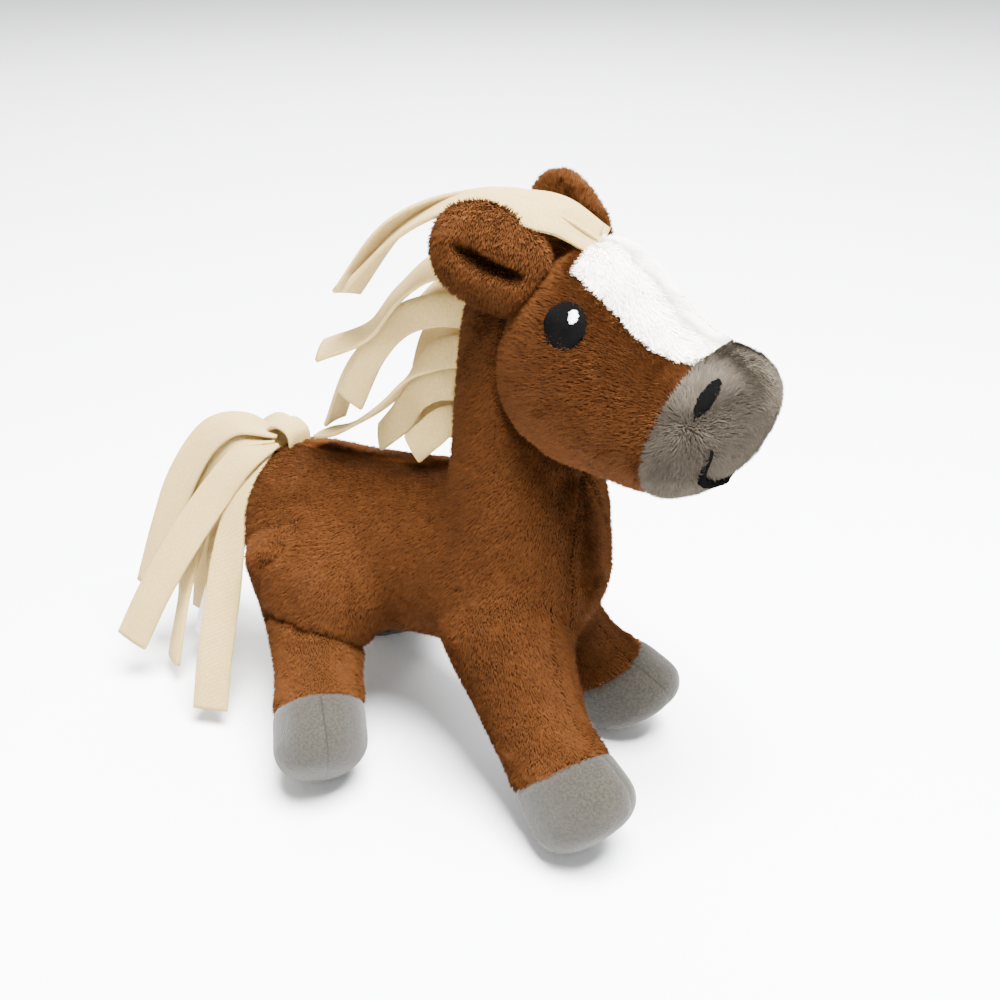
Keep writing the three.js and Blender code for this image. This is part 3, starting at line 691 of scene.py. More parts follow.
def normals_of(points: np.ndarray, faces: np.ndarray) -> np.ndarray:
    """The points' normals on a mesh of four-sided faces.

    Args:
        points: The points.
        faces: The faces' point numbers.

    Returns:
        A unit normal for each point.
    """
    corners = points[faces]
    flat = np.cross(corners[:, 2] - corners[:, 0], corners[:, 3] - corners[:, 1])
    total = np.zeros_like(points)
    for k in range(3):
        for j in range(4):
            total[:, k] += np.bincount(faces[:, j], flat[:, k], len(points))
    return unit(total)


def volume_of(points: np.ndarray, faces: np.ndarray) -> float:
    """The volume inside closed four-sided faces, less than 0 where they point inward."""
    a, b, c, d = (points[faces[:, k]] for k in range(4))
    return float((np.cross(a, b) * c).sum() + (np.cross(a, c) * d).sum()) / 6


def near(away: np.ndarray, reach: float) -> np.ndarray:
    """How near things are, 1 where they touch and fading to 0 past their reach."""
    return np.exp(-((away / reach) ** 2))


def quad_areas(corners: np.ndarray) -> np.ndarray:
    """Each four-sided face's area, from its corners' places."""
    return np.linalg.norm(np.cross(corners[:, 2] - corners[:, 0], corners[:, 3] - corners[:, 1]), axis=1) / 2


def relaxed(
    values: np.ndarray, edges: np.ndarray, rounds: int, share: float | np.ndarray = 0.5
) -> np.ndarray:
    """Values drawn towards their neighbours' average, over and over.

    Args:
        values: One row for each point.
        edges: Pairs of point numbers.
        rounds: How many times.
        share: How far towards the average each time, one number or one for each point.

    Returns:
        The new values.
    """
    count = np.bincount(edges.ravel(), minlength=len(values))
    reach = np.where(count > 0, share, 0.0)
    moved = values.astype(float).copy()
    for _ in range(rounds):
        for k in range(moved.shape[1]):
            total = np.bincount(edges[:, 0], moved[edges[:, 1], k], len(moved))
            total += np.bincount(edges[:, 1], moved[edges[:, 0], k], len(moved))
            moved[:, k] += reach * (total / np.maximum(count, 1) - moved[:, k])
    return moved


def unit(rows: np.ndarray) -> np.ndarray:
    """Each row made one long."""
    return rows / np.maximum(np.linalg.norm(rows, axis=-1, keepdims=True), TINY)


def edges_of(faces: np.ndarray) -> tuple[np.ndarray, np.ndarray]:
    """The edges that two faces share.

    Args:
        faces: Four-sided faces.

    Returns:
        The edges' point numbers, and the two faces of each.
    """
    sides = np.stack([faces, np.roll(faces, -1, axis=1)], axis=2).reshape(-1, 2)
    owner = np.repeat(np.arange(len(faces)), faces.shape[1])
    sides = np.sort(sides, axis=1)
    order = np.lexsort((sides[:, 1], sides[:, 0]))
    sides, owner = sides[order], owner[order]
    same = np.flatnonzero((sides[1:] == sides[:-1]).all(axis=1))
    return sides[same], np.column_stack([owner[same], owner[same + 1]])


def islands(count: int, edges: np.ndarray) -> np.ndarray:
    """Which joined-up patch each point belongs to.

    Args:
        count: How many points there are.
        edges: Pairs of point numbers.

    Returns:
        The lowest point number of each point's patch.
    """
    label = np.arange(count)
    while True:
        low = np.minimum(label[edges[:, 0]], label[edges[:, 1]])
        following = label.copy()
        np.minimum.at(following, label[edges[:, 0]], low)
        np.minimum.at(following, label[edges[:, 1]], low)
        following = following[following]
        if (following == label).all():
            return label
        label = following


def set_values(mesh: bpy.types.Mesh, **rows: np.ndarray) -> None:
    """Stores a number or a vector for each point of a mesh.

    Args:
        mesh: The mesh.
        rows: One attribute's values under its name.
    """
    for name, values in rows.items():
        kind, place = ("FLOAT_VECTOR", "vector") if values.ndim == 2 else ("FLOAT", "value")
        mesh.attributes.new(name, kind, "POINT").data.foreach_set(place, np.asarray(values, float).ravel())


# The toy's own frame


@dataclass(frozen=True)
class Leg:
    """Where a leg leaves the body and stands, in millimetres from the rump on the floor.

    Attributes:
        hip: The top of its middle line.
        foot: The bottom of it.
        toe_turn: How far its toe turns to the left, in degrees.
    """

    hip: tuple[float, float, float]
    foot: tuple[float, float, float]
    toe_turn: float


@dataclass(frozen=True)
class Stance:
    """Places that the pieces share, in millimetres from the rump on the floor.

    Attributes:
        skull: The middle of the head.
        whorl: Where the pile of the muzzle's left side parts.
        head_along: The way the head points.
        head_up: The way up from it.
        rump_gap: How far the torso's filling lies inside the rump.
        legs: The four legs.
    """

    skull: tuple[float, float, float] = (101.0, 0.0, 147.0)
    whorl: tuple[float, float, float] = (163.5, 20.5, 132.5)
    head_along: tuple[float, float, float] = (0.942, 0.0, -0.336)
    head_up: tuple[float, float, float] = (0.336, 0.0, 0.942)
    rump_gap: float = 1.9
    legs: dict[str, Leg] = field(
        default_factory=lambda: {
            "front_right": Leg((98.2, -13.5, 64.7), (151.2, -33.1, 8.7), -6.0),
            "front_left": Leg((95.6, 10.4, 62.8), (129.1, 29.4, 6.8), 0.0),
            "rear_right": Leg((22.3, -15.6, 65.0), (70.2, -57.8, 9.0), -40.0),
            "rear_left": Leg((26.2, 12.5, 58.6), (26.0, 33.4, 2.6), 20.0),
        }
    )

    def home(self) -> np.ndarray:
        """The rump on the floor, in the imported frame."""
        low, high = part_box("torso_filling")
        return np.array([low.x - self.rump_gap * MM, (low.y + high.y) / 2, 0.0])

    def place(self, spot: tuple[float, float, float]) -> np.ndarray:
        """A place given in millimetres from the rump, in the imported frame."""
        return self.home() + np.array(spot) * MM


def node_arrays(frame: dict[str, object], name: str) -> tuple[np.ndarray, np.ndarray]:
    """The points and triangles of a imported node."""
    return arrays_of(frame["nodes"][name].data)


def together(parts: list[tuple[np.ndarray, np.ndarray]]) -> tuple[np.ndarray, np.ndarray]:
    """Several meshes as one.

    Args:
        parts: Each mesh's points and faces.

    Returns:
        All their points, and their faces renumbered.
    """
    points, faces, start = [], [], 0
    for some_points, some_faces in parts:
        points.append(some_points)
        faces.append(some_faces + start)
        start += len(some_points)
    return np.concatenate(points), np.concatenate(faces)


def remeshed(points: np.ndarray, faces: np.ndarray, voxel: float) -> tuple[np.ndarray, np.ndarray]:
    """The outer skin of some solids as even four-sided faces.

    Args:
        points: The solids' points.
        faces: Their triangles.
        voxel: The size of the new faces.

    Returns:
        The points and four-sided faces of the largest closed surface.
    """
    work = shown("work", mesh_of("work", points, faces))
    modifier = work.modifiers.new("Remesh", "REMESH")
    modifier.mode = "VOXEL"
    modifier.voxel_size = voxel
    mesh = settled(work)
    found = np.empty(len(mesh.vertices) * 3)
    mesh.vertices.foreach_get("co", found)
    quads = np.empty(len(mesh.loops), int)
    mesh.loops.foreach_get("vertex_index", quads)
    bpy.data.meshes.remove(mesh)
    discard(work)
    found, quads = found.reshape(-1, 3), quads.reshape(-1, 4)
    patch = islands(len(found), edges_of(quads)[0])
    main = np.bincount(patch).argmax()
    kept = quads[patch[quads[:, 0]] == main]
    return trimmed(found, kept)[:2]


def trimmed(points: np.ndarray, faces: np.ndarray) -> tuple[np.ndarray, np.ndarray, np.ndarray]:
    """Only the points that the faces use, the faces renumbered, and the points' old numbers."""
    used, index = np.unique(faces, return_inverse=True)
    return points[used], index.reshape(faces.shape), used


def tree_of(points: np.ndarray, faces: np.ndarray) -> BVHTree:
    """A tree for finding the nearest place on a surface."""
    return BVHTree.FromPolygons(points.tolist(), faces.tolist())


def distance_to(tree: BVHTree, points: np.ndarray) -> np.ndarray:
    """How far each point is from a surface."""
    return np.array([tree.find_nearest(Vector(point))[3] for point in points])


@dataclass
class Patch:
    """One sewn piece of the coat, cut from the whole skin.

    Attributes:
        name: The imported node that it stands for.
        points: Its points.
        faces: Its four-sided faces.
        lay: The way the pile lies at each point.
        cover: How much pile there is at each point.
        length: How long the pile is at each point.
        away: How far each point is from a seam.
        aside: How far each point is from the seam down a leg's front.
    """

    name: str
    points: np.ndarray
    faces: np.ndarray
    lay: np.ndarray
    cover: np.ndarray
    length: np.ndarray
    away: np.ndarray
    aside: np.ndarray


@dataclass
class Coat:
    """The whole outside of the stuffed animal, from which each sewn piece is cut.

    Attributes:
        frame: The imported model.
        stance: The places that the pieces share.
        voxel: How finely the skin is meshed.
        soft_rounds: How often the stuffed cloth is smoothed.
        hoof_rounds: How often the hooves are smoothed.
        fade_rounds: How gently one passes into the other.
        fit_rounds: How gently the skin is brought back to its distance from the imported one.
        fit_range: The furthest that this may move it, inwards and outwards.
        seam_rounds: How often the seams' lines are straightened.
        last_rounds: How often the whole skin is smoothed after that.
        last_share: How strongly it is then.
        vote_rounds: How often each face is given to the piece that most lies round it.
        majority: How many votes out of five that takes.
        pile_room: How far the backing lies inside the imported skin, which has room for the pile.
        hoof_room: The same on the knit hooves.
        seam_reach: How far from a seam the cloth is drawn in.
        front_seam_depth: How deep the seams down the legs are drawn in.
        front_seam_width: How far the seams down the legs reach.
        parting: How far from the gusset's and the legs' seams the pile is caught in them.
        caught: How much of it is.
        far: Stands for any distance where there is no seam.
        lay_rounds: How gently the lay of one piece passes into the next one's.
        pressed: How much flatter the pile lies on top of the toy than on its sides.
        fan_width: How near the muzzle's middle its two whorls meet.
        fan_height: How far above or below a whorl the lay has turned fully.
        muzzle_lay: How far ahead and down the pile points where they meet.
        blaze_lay: How far aside and ahead the blaze's pile points.
        head_lay: How far back and down the pile of the head's sides points.
        body_lay: How far ahead, aside and up the body's pile points.
        clear_edge: How wide the edge of a bare place is.
        clear: How far round each embroidered motif the cloth is bare.
        seams: For each kind of seam, how deep it is drawn in and how much of the pile it shortens.
        points: The skin's points.
        faces: Its faces.
        owner: The number of the piece that each face belongs to.
        tree: A tree for finding places on the skin.
        lay: The way the pile lies at each point.
        away: How far each point is from a seam.
        aside: How far each point is from the seam down a leg's front.
    """

    frame: dict[str, object]
    stance: Stance
    voxel: float = 1.0 * MM
    soft_rounds: int = 110
    hoof_rounds: int = 40
    fade_rounds: int = 4
    fit_rounds: int = 60
    fit_range: tuple[float, float] = (-0.3 * MM, 1.2 * MM)
    seam_rounds: int = 8
    last_rounds: int = 2
    last_share: float = 0.4
    vote_rounds: int = 6
    majority: int = 3
    pile_room: float = 0.9 * MM
    hoof_room: float = 0.4 * MM
    seam_reach: float = 1.3 * MM
    front_seam_depth: float = 0.2 * MM
    front_seam_width: float = 1.1 * MM
    parting: float = 0.7 * MM
    caught: float = 0.9
    far: float = 50.0 * MM
    lay_rounds: int = 40
    pressed: float = 1.5
    fan_width: float = 7.0 * MM
    fan_height: float = 8.0 * MM
    muzzle_lay: tuple[float, float] = (0.6, 0.8)
    blaze_lay: tuple[float, float] = (0.7, 0.8)
    head_lay: tuple[float, float] = (1.0, 0.3)
    body_lay: tuple[float, float, float] = (-0.45, 0.5, -0.75)
    clear_edge: float = 0.6 * MM
    clear: dict[str, float] = field(
        default_factory=lambda: {"eye": 0.9 * MM, "nostril": 0.7 * MM, "mouth": 1.2 * MM}
    )
    seams: dict[str, tuple[float, float]] = field(
        default_factory=lambda: {
            "gusset": (1.2 * MM, 0.6),
            "body": (0.5 * MM, 0.2),
            "head": (0.6 * MM, 0.15),
            "neck": (1.6 * MM, 0.3),
            "rear leg": (1.4 * MM, 0.35),
            "leg": (0.3 * MM, 0.0),
            "hoof": (0.6 * MM, 0.0),
        }
    )
    points: np.ndarray = field(init=False)
    faces: np.ndarray = field(init=False)
    owner: np.ndarray = field(init=False)
    tree: BVHTree = field(init=False)
    lay: np.ndarray = field(init=False)
    away: np.ndarray = field(init=False)
    aside: np.ndarray = field(init=False)

    def families(self) -> dict[str, str]:
        """Sorts the skin nodes.

        Returns:
            The family that each skin node's seams belong to.
        """
        found = {"chest_gusset": "gusset", "blaze": "head", "muzzle_cover": "head"}
        for side in SIDES:
            found[f"body_panel_{side}"] = "body"
            found[f"head_panel_{side}"] = "head"
        for corner in CORNERS:
            found[f"leg_{corner}"] = "rear leg" if corner.startswith("rear") else "leg"
            found[f"hoof_{corner}"] = "hoof"
            found[f"sole_{corner}"] = "hoof"
        return found

    def fillings(self) -> list[str]:
        """The names of the filling nodes."""
        return ["torso_filling", "neck_filling", "head_filling"] + [f"leg_filling_{c}" for c in CORNERS]

    def seam_kind(self, first: str, second: str) -> str | None:
        """Which seam lies between two families.

        Args:
            first: One family.
            second: The other family.

        Returns:
            The seam's name in seams.
        """
        pair = {first, second}
        if "head" in pair and pair & {"body", "gusset"}:
            return "neck"
        for name in ("hoof", "rear leg", "leg", "head", "gusset", "body"):
            if name in pair:
                return name
        return None

    def build(self) -> list[Patch]:
        """Makes the skin and cuts it up.

        Returns:
            One patch for each skin node.
        """
        families = self.families()
        names = list(families)
        solids = [node_arrays(self.frame, name) for name in names + self.fillings()]
        raw, faces = remeshed(*together(solids), self.voxel)
        edges, sides = edges_of(faces)
        owner = self._owners(raw, faces, solids[: len(names)], sides)
        hoofed = np.array([families[name] == "hoof" for name in names])[owner]
        on_hoof = np.zeros(len(raw), bool)
        on_hoof[faces[hoofed]] = True
        points = self._stuffed(raw, faces, edges, on_hoof)
        between = owner[sides[:, 0]] != owner[sides[:, 1]]
        lines, pairs = edges[between], owner[sides[between]]
        sewn = np.isin(np.arange(len(points)), lines)
        points = np.where(sewn[:, None], relaxed(points, lines, self.seam_rounds), points)
        points = relaxed(points, edges, self.last_rounds, self.last_share)
        points[:, 2] = np.maximum(points[:, 2], 0.0)
        normals = normals_of(points, faces)
        length = np.ones(len(points))
        kinds = np.array([self.seam_kind(families[names[a]], families[names[b]]) for a, b in pairs])
        for kind, (depth, cut) in self.seams.items():
            nearness = near(self._away(points, np.unique(lines[kinds == kind])), self.seam_reach)
            points = points - normals * (depth * nearness)[:, None]
            length -= nearness * cut
        self.aside = self._front_seams(points, faces, owner, names)
        nearness = near(self.aside, self.front_seam_width)
        points = points - normals * (self.front_seam_depth * nearness)[:, None]
        points[:, 2] = np.maximum(points[:, 2], 0.0)
        self.away = self._away(points, np.unique(lines))
        self.points, self.faces, self.owner, self.tree = points, faces, owner, tree_of(points, faces)
        self.lay = np.zeros_like(points)
        for number, name in enumerate(names):
            chosen = np.unique(faces[owner == number])
            self.lay[chosen] += self._lay(name, points[chosen])
        flatter = 1 + self.pressed * np.clip(normals[:, 2:], 0, 1) ** 2
        self.lay = relaxed(unit(self.lay), edges, self.lay_rounds) * flatter
        gusset = lines[(pairs == names.index("chest_gusset")).any(axis=1)]
        parted = np.minimum(np.abs(self.aside), self._away(points, np.unique(gusset)))
        cover = self._cover(points) * (1 - self.caught * near(parted, self.parting))
        return [self._cut(name, number, cover, length) for number, name in enumerate(names)]

    def _owners(
        self,
        points: np.ndarray,
        faces: np.ndarray,
        solids: list[tuple[np.ndarray, np.ndarray]],
        sides: np.ndarray,
    ) -> np.ndarray:
        """Shares the skin out among the sewn pieces, with even edges.

        Args:
            points: The skin's points.
            faces: Its faces.
            solids: Each piece's packed points and faces.
            sides: The two faces of each edge.

        Returns:
            The number of the piece that each face belongs to.
        """
        count = len(solids)
        which = np.repeat(np.arange(count), [len(piece_faces) for _, piece_faces in solids])
        tree = tree_of(*together(solids))
        centres = points[faces].mean(axis=1)
        owner = which[[tree.find_nearest(Vector(centre))[2] for centre in centres]]
        for _ in range(self.vote_rounds):
            votes = np.zeros((len(faces), count), np.int16)
            np.add.at(votes, (sides[:, 0], owner[sides[:, 1]]), 1)
            np.add.at(votes, (sides[:, 1], owner[sides[:, 0]]), 1)
            votes[np.arange(len(faces)), owner] += 1
            owner = np.where(votes.max(axis=1) >= self.majority, votes.argmax(axis=1), owner)
        region = islands(len(faces), sides[owner[sides[:, 0]] == owner[sides[:, 1]]])
        stray = np.ones(len(faces), bool)
        for number in range(count):
            stray &= region != np.bincount(region[owner == number], minlength=1).argmax()
        log.info("faces taken into the piece round them: %d", stray.sum())
        while stray.any():
            for here, there in (sides.T, sides.T[::-1]):
                taken = stray[here] & ~stray[there]
                owner[here[taken]] = owner[there[taken]]
                stray[here[taken]] = False
        return owner

    def _stuffed(
        self, raw: np.ndarray, faces: np.ndarray, edges: np.ndarray, on_hoof: np.ndarray
    ) -> np.ndarray:
        """Smooths the skin as stuffed cloth is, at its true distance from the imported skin.

        Args:
            raw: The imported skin's points.
            faces: Its faces.
            edges: Its edges.
            on_hoof: Which points are on a hoof.

        Returns:
            The new points.
        """
        points = relaxed(raw, edges, self.hoof_rounds)
        soft = relaxed(np.where(on_hoof, 0.0, 1.0)[:, None], edges, self.fade_rounds)[:, 0]
        points = relaxed(points, edges, self.soft_rounds - self.hoof_rounds, 0.5 * soft)
        outside = tree_of(raw, faces)
        normals = normals_of(points, faces)
        nearest = np.array([tuple(outside.find_nearest(Vector(point))[0]) for point in points])
        height = ((points - nearest) * normals).sum(axis=1)
        wanted = -(self.pile_room * soft + self.hoof_room * (1 - soft))
        change = relaxed((wanted - height)[:, None], edges, self.fit_rounds)
        return points + normals * np.clip(change, *self.fit_range)

    def _front_seams(
        self, points: np.ndarray, faces: np.ndarray, owner: np.ndarray, names: list[str]
    ) -> np.ndarray:
        """Finds the seams down the fronts of the legs and hooves.

        Args:
            points: The skin's points.
            faces: Its faces.
            owner: The number of each face's piece.
            names: The pieces' names.

        Returns:
            How far to the left each point is of the seam in front of it.
        """
        found = np.full(len(points), self.far)
        for corner, leg in self.stance.legs.items():
            hip, foot = self.stance.place(leg.hip), self.stance.place(leg.foot)
            sewn = {f"hoof_{corner}", f"leg_{corner}"} - {"leg_rear_right", "leg_rear_left"}
            mine = [number for number, name in enumerate(names) if name in sewn]
            chosen = np.unique(faces[np.isin(owner, mine)])
            spots = points[chosen]
            share = np.clip((hip[2] - spots[:, 2]) / (hip[2] - foot[2]), 0, 1)[:, None]
            offset = spots - (hip + (foot - hip) * share)
            turn = math.radians(leg.toe_turn)
            ahead = offset @ np.array([math.cos(turn), math.sin(turn), 0.0])
            aside = offset @ np.array([-math.sin(turn), math.cos(turn), 0.0])
            found[chosen] = np.where(ahead > 0, aside, self.far)
        return found

    def _away(self, points: np.ndarray, line: np.ndarray) -> np.ndarray:
        """Measures from a line of points.

        Args:
            points: All the points.
            line: The numbers of those on the line.

        Returns:
            How far each point is from the line.
        """
        if not len(line):
            return np.full(len(points), self.far)
        tree = KDTree(len(line))
        for number, point in enumerate(points[line]):
            tree.insert(point, number)
        tree.balance()
        return np.array([tree.find(point)[2] for point in points])

    def _cover(self, points: np.ndarray) -> np.ndarray:
        """Clears the pile from under the embroidery.

        Args:
            points: The skin's points.

        Returns:
            How much pile there is at each point, from 0 to 1.
        """
        cover = np.ones(len(points))
        low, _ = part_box("head_filling")
        head = np.flatnonzero(points[:, 2] > low.z)
        for name in ("eye_right", "eye_left", "nostril_right", "nostril_left", "mouth"):
            away = distance_to(tree_of(*node_arrays(self.frame, name)), points[head])
            clear = self.clear[name.split("_")[0]]
            cover[head] = np.minimum(cover[head], np.clip((away - clear) / self.clear_edge, 0, 1))
        return cover

    def _cut(self, name: str, number: int, cover: np.ndarray, length: np.ndarray) -> Patch:
        """Cuts out one node's patch.

        Args:
            name: The node.
            number: Its number as the faces' owner.
            cover: How much pile there is at each point.
            length: How long it is.

        Returns:
            The patch.
        """
        points, faces, used = trimmed(self.points, self.faces[self.owner == number])
        kept = (values[used] for values in (self.lay, cover, length, self.away, self.aside))
        return Patch(name, points, faces, *kept)

    def _lay(self, name: str, points: np.ndarray) -> np.ndarray:
        """Brushes one piece.

        Args:
            name: Its node.
            points: Its points.

        Returns:
            The way the pile lies at each of them.
        """
        stance = self.stance
        along, up = np.array(stance.head_along), np.array(stance.head_up)
        if name == "muzzle_cover":
            middle, whorl = stance.home()[1], stance.place(stance.whorl)
            spots = np.column_stack([points[:, 0], middle + np.abs(points[:, 1] - middle), points[:, 2]])
            spread = unit(spots - whorl)
            spread[:, 1] *= np.sign(points[:, 1] - middle)
            meeting = near(points[:, 1:2] - middle, self.fan_width)
            above = np.clip((points - whorl) @ up / self.fan_height, -1.0, 1.0)
            ahead, down = self.muzzle_lay
            straight = unit(ahead * above[:, None] * along - down * up)
            return unit(spread * (1 - meeting) + meeting * straight)
        outwards = np.sign(points[:, 1:2] - stance.home()[1]) * TO_LEFT
        if name == "blaze":
            aside, ahead = self.blaze_lay
            return unit(aside * outwards + ahead * along)
        if name.startswith("head"):
            back, down = self.head_lay
            return np.tile(unit(-back * along - down * up), (len(points), 1))
        if name.startswith("leg"):
            leg = stance.legs[name.removeprefix("leg_")]
            return np.tile(unit(np.array(leg.foot) - np.array(leg.hip)), (len(points), 1))
        ahead, aside, above = self.body_lay
        return np.array([[ahead, 0.0, above]]) + aside * outwards


# Geometry node trees


def geometry_group(
    name: str, inputs: dict[str, tuple[str, object]]
) -> tuple[Graph, dict[str, bpy.types.NodeSocket], bpy.types.Node]:
    """Starts a geometry node tree.

    Args:
        name: The tree's name.
        inputs: Each named input with its socket type and default.

    Returns:
        The graph, its inputs by name, and its output node.
    """
    tree = bpy.data.node_groups.new(name, "GeometryNodeTree")
    tree.interface.new_socket("Geometry", in_out="INPUT", socket_type="NodeSocketGeometry")
    for label, (kind, value) in inputs.items():
        socket = tree.interface.new_socket(label, in_out="INPUT", socket_type=kind)
        if value is not None:
            socket.default_value = value
    tree.interface.new_socket("Geometry", in_out="OUTPUT", socket_type="NodeSocketGeometry")
    return opened(tree)


def grown(base: bpy.types.Object, tree: bpy.types.NodeTree, values: dict[str, object]) -> bpy.types.Mesh:
    """What a geometry node tree makes of an object.

    Args:
        base: The working object.
        tree: The geometry node tree.
        values: A value for each of the tree's named inputs that differs from its default.

    Returns:
        The finished mesh.
    """
    modifier = base.modifiers.new(tree.name, "NODES")
    modifier.node_group = tree
    for item in tree.interface.items_tree:
        if item.item_type == "SOCKET" and item.in_out == "INPUT" and item.name in values:
            modifier[item.identifier] = values[item.name]
    mesh = settled(base)
    base.modifiers.remove(modifier)
    return mesh


class Trees:
    """The geometry node trees, each built once.

    Attributes:
        SWING: How far a clump of fibres swings for each unit of wander.
        JITTER: How far single fibres stray from their clump.
        SHORTEST: The shortest fibre beside the usual length.
        LONGEST: The longest one.
        RIB_WANDER: How far the rows of the pile wander up and down.
        ODD_ONES: How far single fibres differ in tone, as the ends of the range.
        ODD_SEED: The seed for that.
    """

    SWING = 3.2
    JITTER = 0.3
    SHORTEST = 0.8
    LONGEST = 1.1
    RIB_WANDER = 6.0 * MM
    ODD_ONES = (0.2, 0.8)
    ODD_SEED = 5

    def __init__(self) -> None:
        """Builds the trees."""
        self.pile = self._pile()
        self.thread = self._thread()

    def _pile(self) -> bpy.types.NodeTree:
        """Fibres that stand on a skin and lean the way it was brushed.

        Returns:
            The tree.
        """
        sizes = {
            "Density": ("NodeSocketFloat", 6.2e6),
            "Length": ("NodeSocketFloat", 2.0 * MM),
            "Thickness": ("NodeSocketFloat", 0.42 * MM),
            "Rise": ("NodeSocketFloat", 1.1),
            "Wander": ("NodeSocketFloat", 0.5),
            "Clump": ("NodeSocketFloat", 200.0),
            "Ribs": ("NodeSocketFloat", 0.16),
            "Rib Pitch": ("NodeSocketFloat", 1.1 * MM),
            "Patch": ("NodeSocketFloat", 55.0),
            "Patchy": ("NodeSocketFloat", 1.5),
            "Seed": ("NodeSocketInt", 1),
        }
        sizes.update({f"Tone {number}": ("NodeSocketMaterial", None) for number in TONES})
        graph, given, sink = geometry_group("Pile", sizes)
        values = {
            "Mesh": given["Geometry"],
            "Density": graph.maths("MULTIPLY", given["Density"], graph.stored("cover", "FLOAT")),
            "Seed": given["Seed"],
        }
        spread = graph.add("GeometryNodeDistributePointsOnFaces", values, distribute_method="RANDOM")
        position = graph.add("GeometryNodeInputPosition").outputs[0]
        cloud = graph.add("ShaderNodeTexNoise", {"Vector": position, "Scale": given["Clump"], "Detail": 2.0})
        way = self._leaning(graph, given, spread.outputs["Normal"], cloud.outputs["Color"])
        turn = graph.add("FunctionNodeAlignRotationToVector", {"Vector": way}, axis="Z")
        tall = self._height(graph, given, position, cloud.outputs[0])
        width = given["Thickness"]
        size = graph.add("ShaderNodeCombineXYZ", {"X": width, "Y": width, "Z": tall})
        values = {"Vertices": 3, "Depth": 1.0, "Radius Bottom": 0.5, "Radius Top": 0.0}
        cone = graph.add("GeometryNodeMeshCone", values)
        values = {
            "Points": spread.outputs["Points"],
            "Instance": cone.outputs["Mesh"],
            "Rotation": turn.outputs[0],
            "Scale": size.outputs[0],
        }
        placed = graph.add("GeometryNodeInstanceOnPoints", values).outputs[0]
        graph.put(self._dyed(graph, given, position, placed), sink.inputs["Geometry"])
        return graph.tree

    def _leaning(
        self,
        graph: Graph,
        given: dict[str, bpy.types.NodeSocket],
        normal: bpy.types.NodeSocket,
        cloud: bpy.types.NodeSocket,
    ) -> bpy.types.NodeSocket:
        """Adds the nodes for which way each fibre leans.

        Args:
            graph: The tree's graph.
            given: Its inputs.
            normal: The skin's normal.
            cloud: A cloudy colour, from which whole clumps lean.

        Returns:
            The way, of any length.
        """
        lay = graph.stored("lay", "FLOAT_VECTOR")
        off = graph.vectors("SUBTRACT", cloud, (0.5, 0.5, 0.5))
        swing = graph.scaled(off, graph.maths("MULTIPLY", given["Wander"], self.SWING))
        ends = ((-self.JITTER,) * 3, (self.JITTER,) * 3)
        jitter = graph.chance("FLOAT_VECTOR", *ends, given["Seed"])
        flat = graph.vectors("SUBTRACT", lay, graph.vectors("PROJECT", lay, normal))
        way = graph.vectors("ADD", graph.scaled(normal, given["Rise"]), flat)
        return graph.vectors("ADD", graph.vectors("ADD", way, swing), jitter)

    def _height(
        self,
        graph: Graph,
        given: dict[str, bpy.types.NodeSocket],
        position: bpy.types.NodeSocket,
        cloud: bpy.types.NodeSocket,
    ) -> bpy.types.NodeSocket:
        """Adds the nodes for how long each fibre is.

        Args:
            graph: The tree's graph.
            given: Its inputs.
            position: The fibre's place.
            cloud: A cloudy number, by which the rows wander.

        Returns:
            The length.
        """
        up = graph.add("ShaderNodeSeparateXYZ", {"Vector": position}).outputs["Z"]
        level = graph.maths("MULTIPLY_ADD", graph.maths("SUBTRACT", cloud, 0.5), self.RIB_WANDER, up)
        turns = graph.maths("DIVIDE", graph.maths("MULTIPLY", level, math.tau), given["Rib Pitch"])
        rib = graph.maths("MULTIPLY_ADD", graph.maths("SINE", turns), given["Ribs"], 1.0)
        whole = graph.maths("MULTIPLY", given["Length"], graph.stored("length", "FLOAT"))
        uneven = graph.maths("MULTIPLY", whole, graph.chance("FLOAT", self.SHORTEST, self.LONGEST))
        return graph.maths("MULTIPLY", uneven, rib)

    def _dyed(
        self,
        graph: Graph,
        given: dict[str, bpy.types.NodeSocket],
        position: bpy.types.NodeSocket,
        placed: bpy.types.NodeSocket,
    ) -> bpy.types.NodeSocket:
        """Adds the nodes that give each fibre its tone and make the fibres real.

        Args:
            graph: The tree's graph.
            given: Its inputs.
            position: The fibre's place.
            placed: The fibres as instances.

        Returns:
            The finished fibres.
        """
        values = {"Vector": position, "Scale": given["Patch"], "Detail": 4.0}
        patch = graph.add("ShaderNodeTexNoise", values)
        stray = graph.chance("FLOAT", *self.ODD_ONES, self.ODD_SEED)
        drift = graph.maths("MULTIPLY", graph.maths("SUBTRACT", patch.outputs[0], 0.5), given["Patchy"])
        share = graph.maths("ADD", stray, drift, clamp=True)
        step = graph.maths("FLOOR", graph.maths("MULTIPLY", share, len(TONES) - 0.01))
        values = {"Geometry": placed, "Name": "tone", "Value": graph.maths("ADD", step, 1.0)}
        kept = graph.add("GeometryNodeStoreNamedAttribute", values, data_type="INT", domain="INSTANCE")
        found = graph.add("GeometryNodeRealizeInstances", {"Geometry": kept.outputs[0]}).outputs[0]
        tone = graph.stored("tone", "INT")
        for number in TONES:
            same = graph.add("FunctionNodeCompare", {2: tone, 3: number}, data_type="INT", operation="EQUAL")
            values = {"Geometry": found, "Selection": same.outputs[0], "Material": given[f"Tone {number}"]}
            found = graph.add("GeometryNodeSetMaterial", values).outputs[0]
        return found

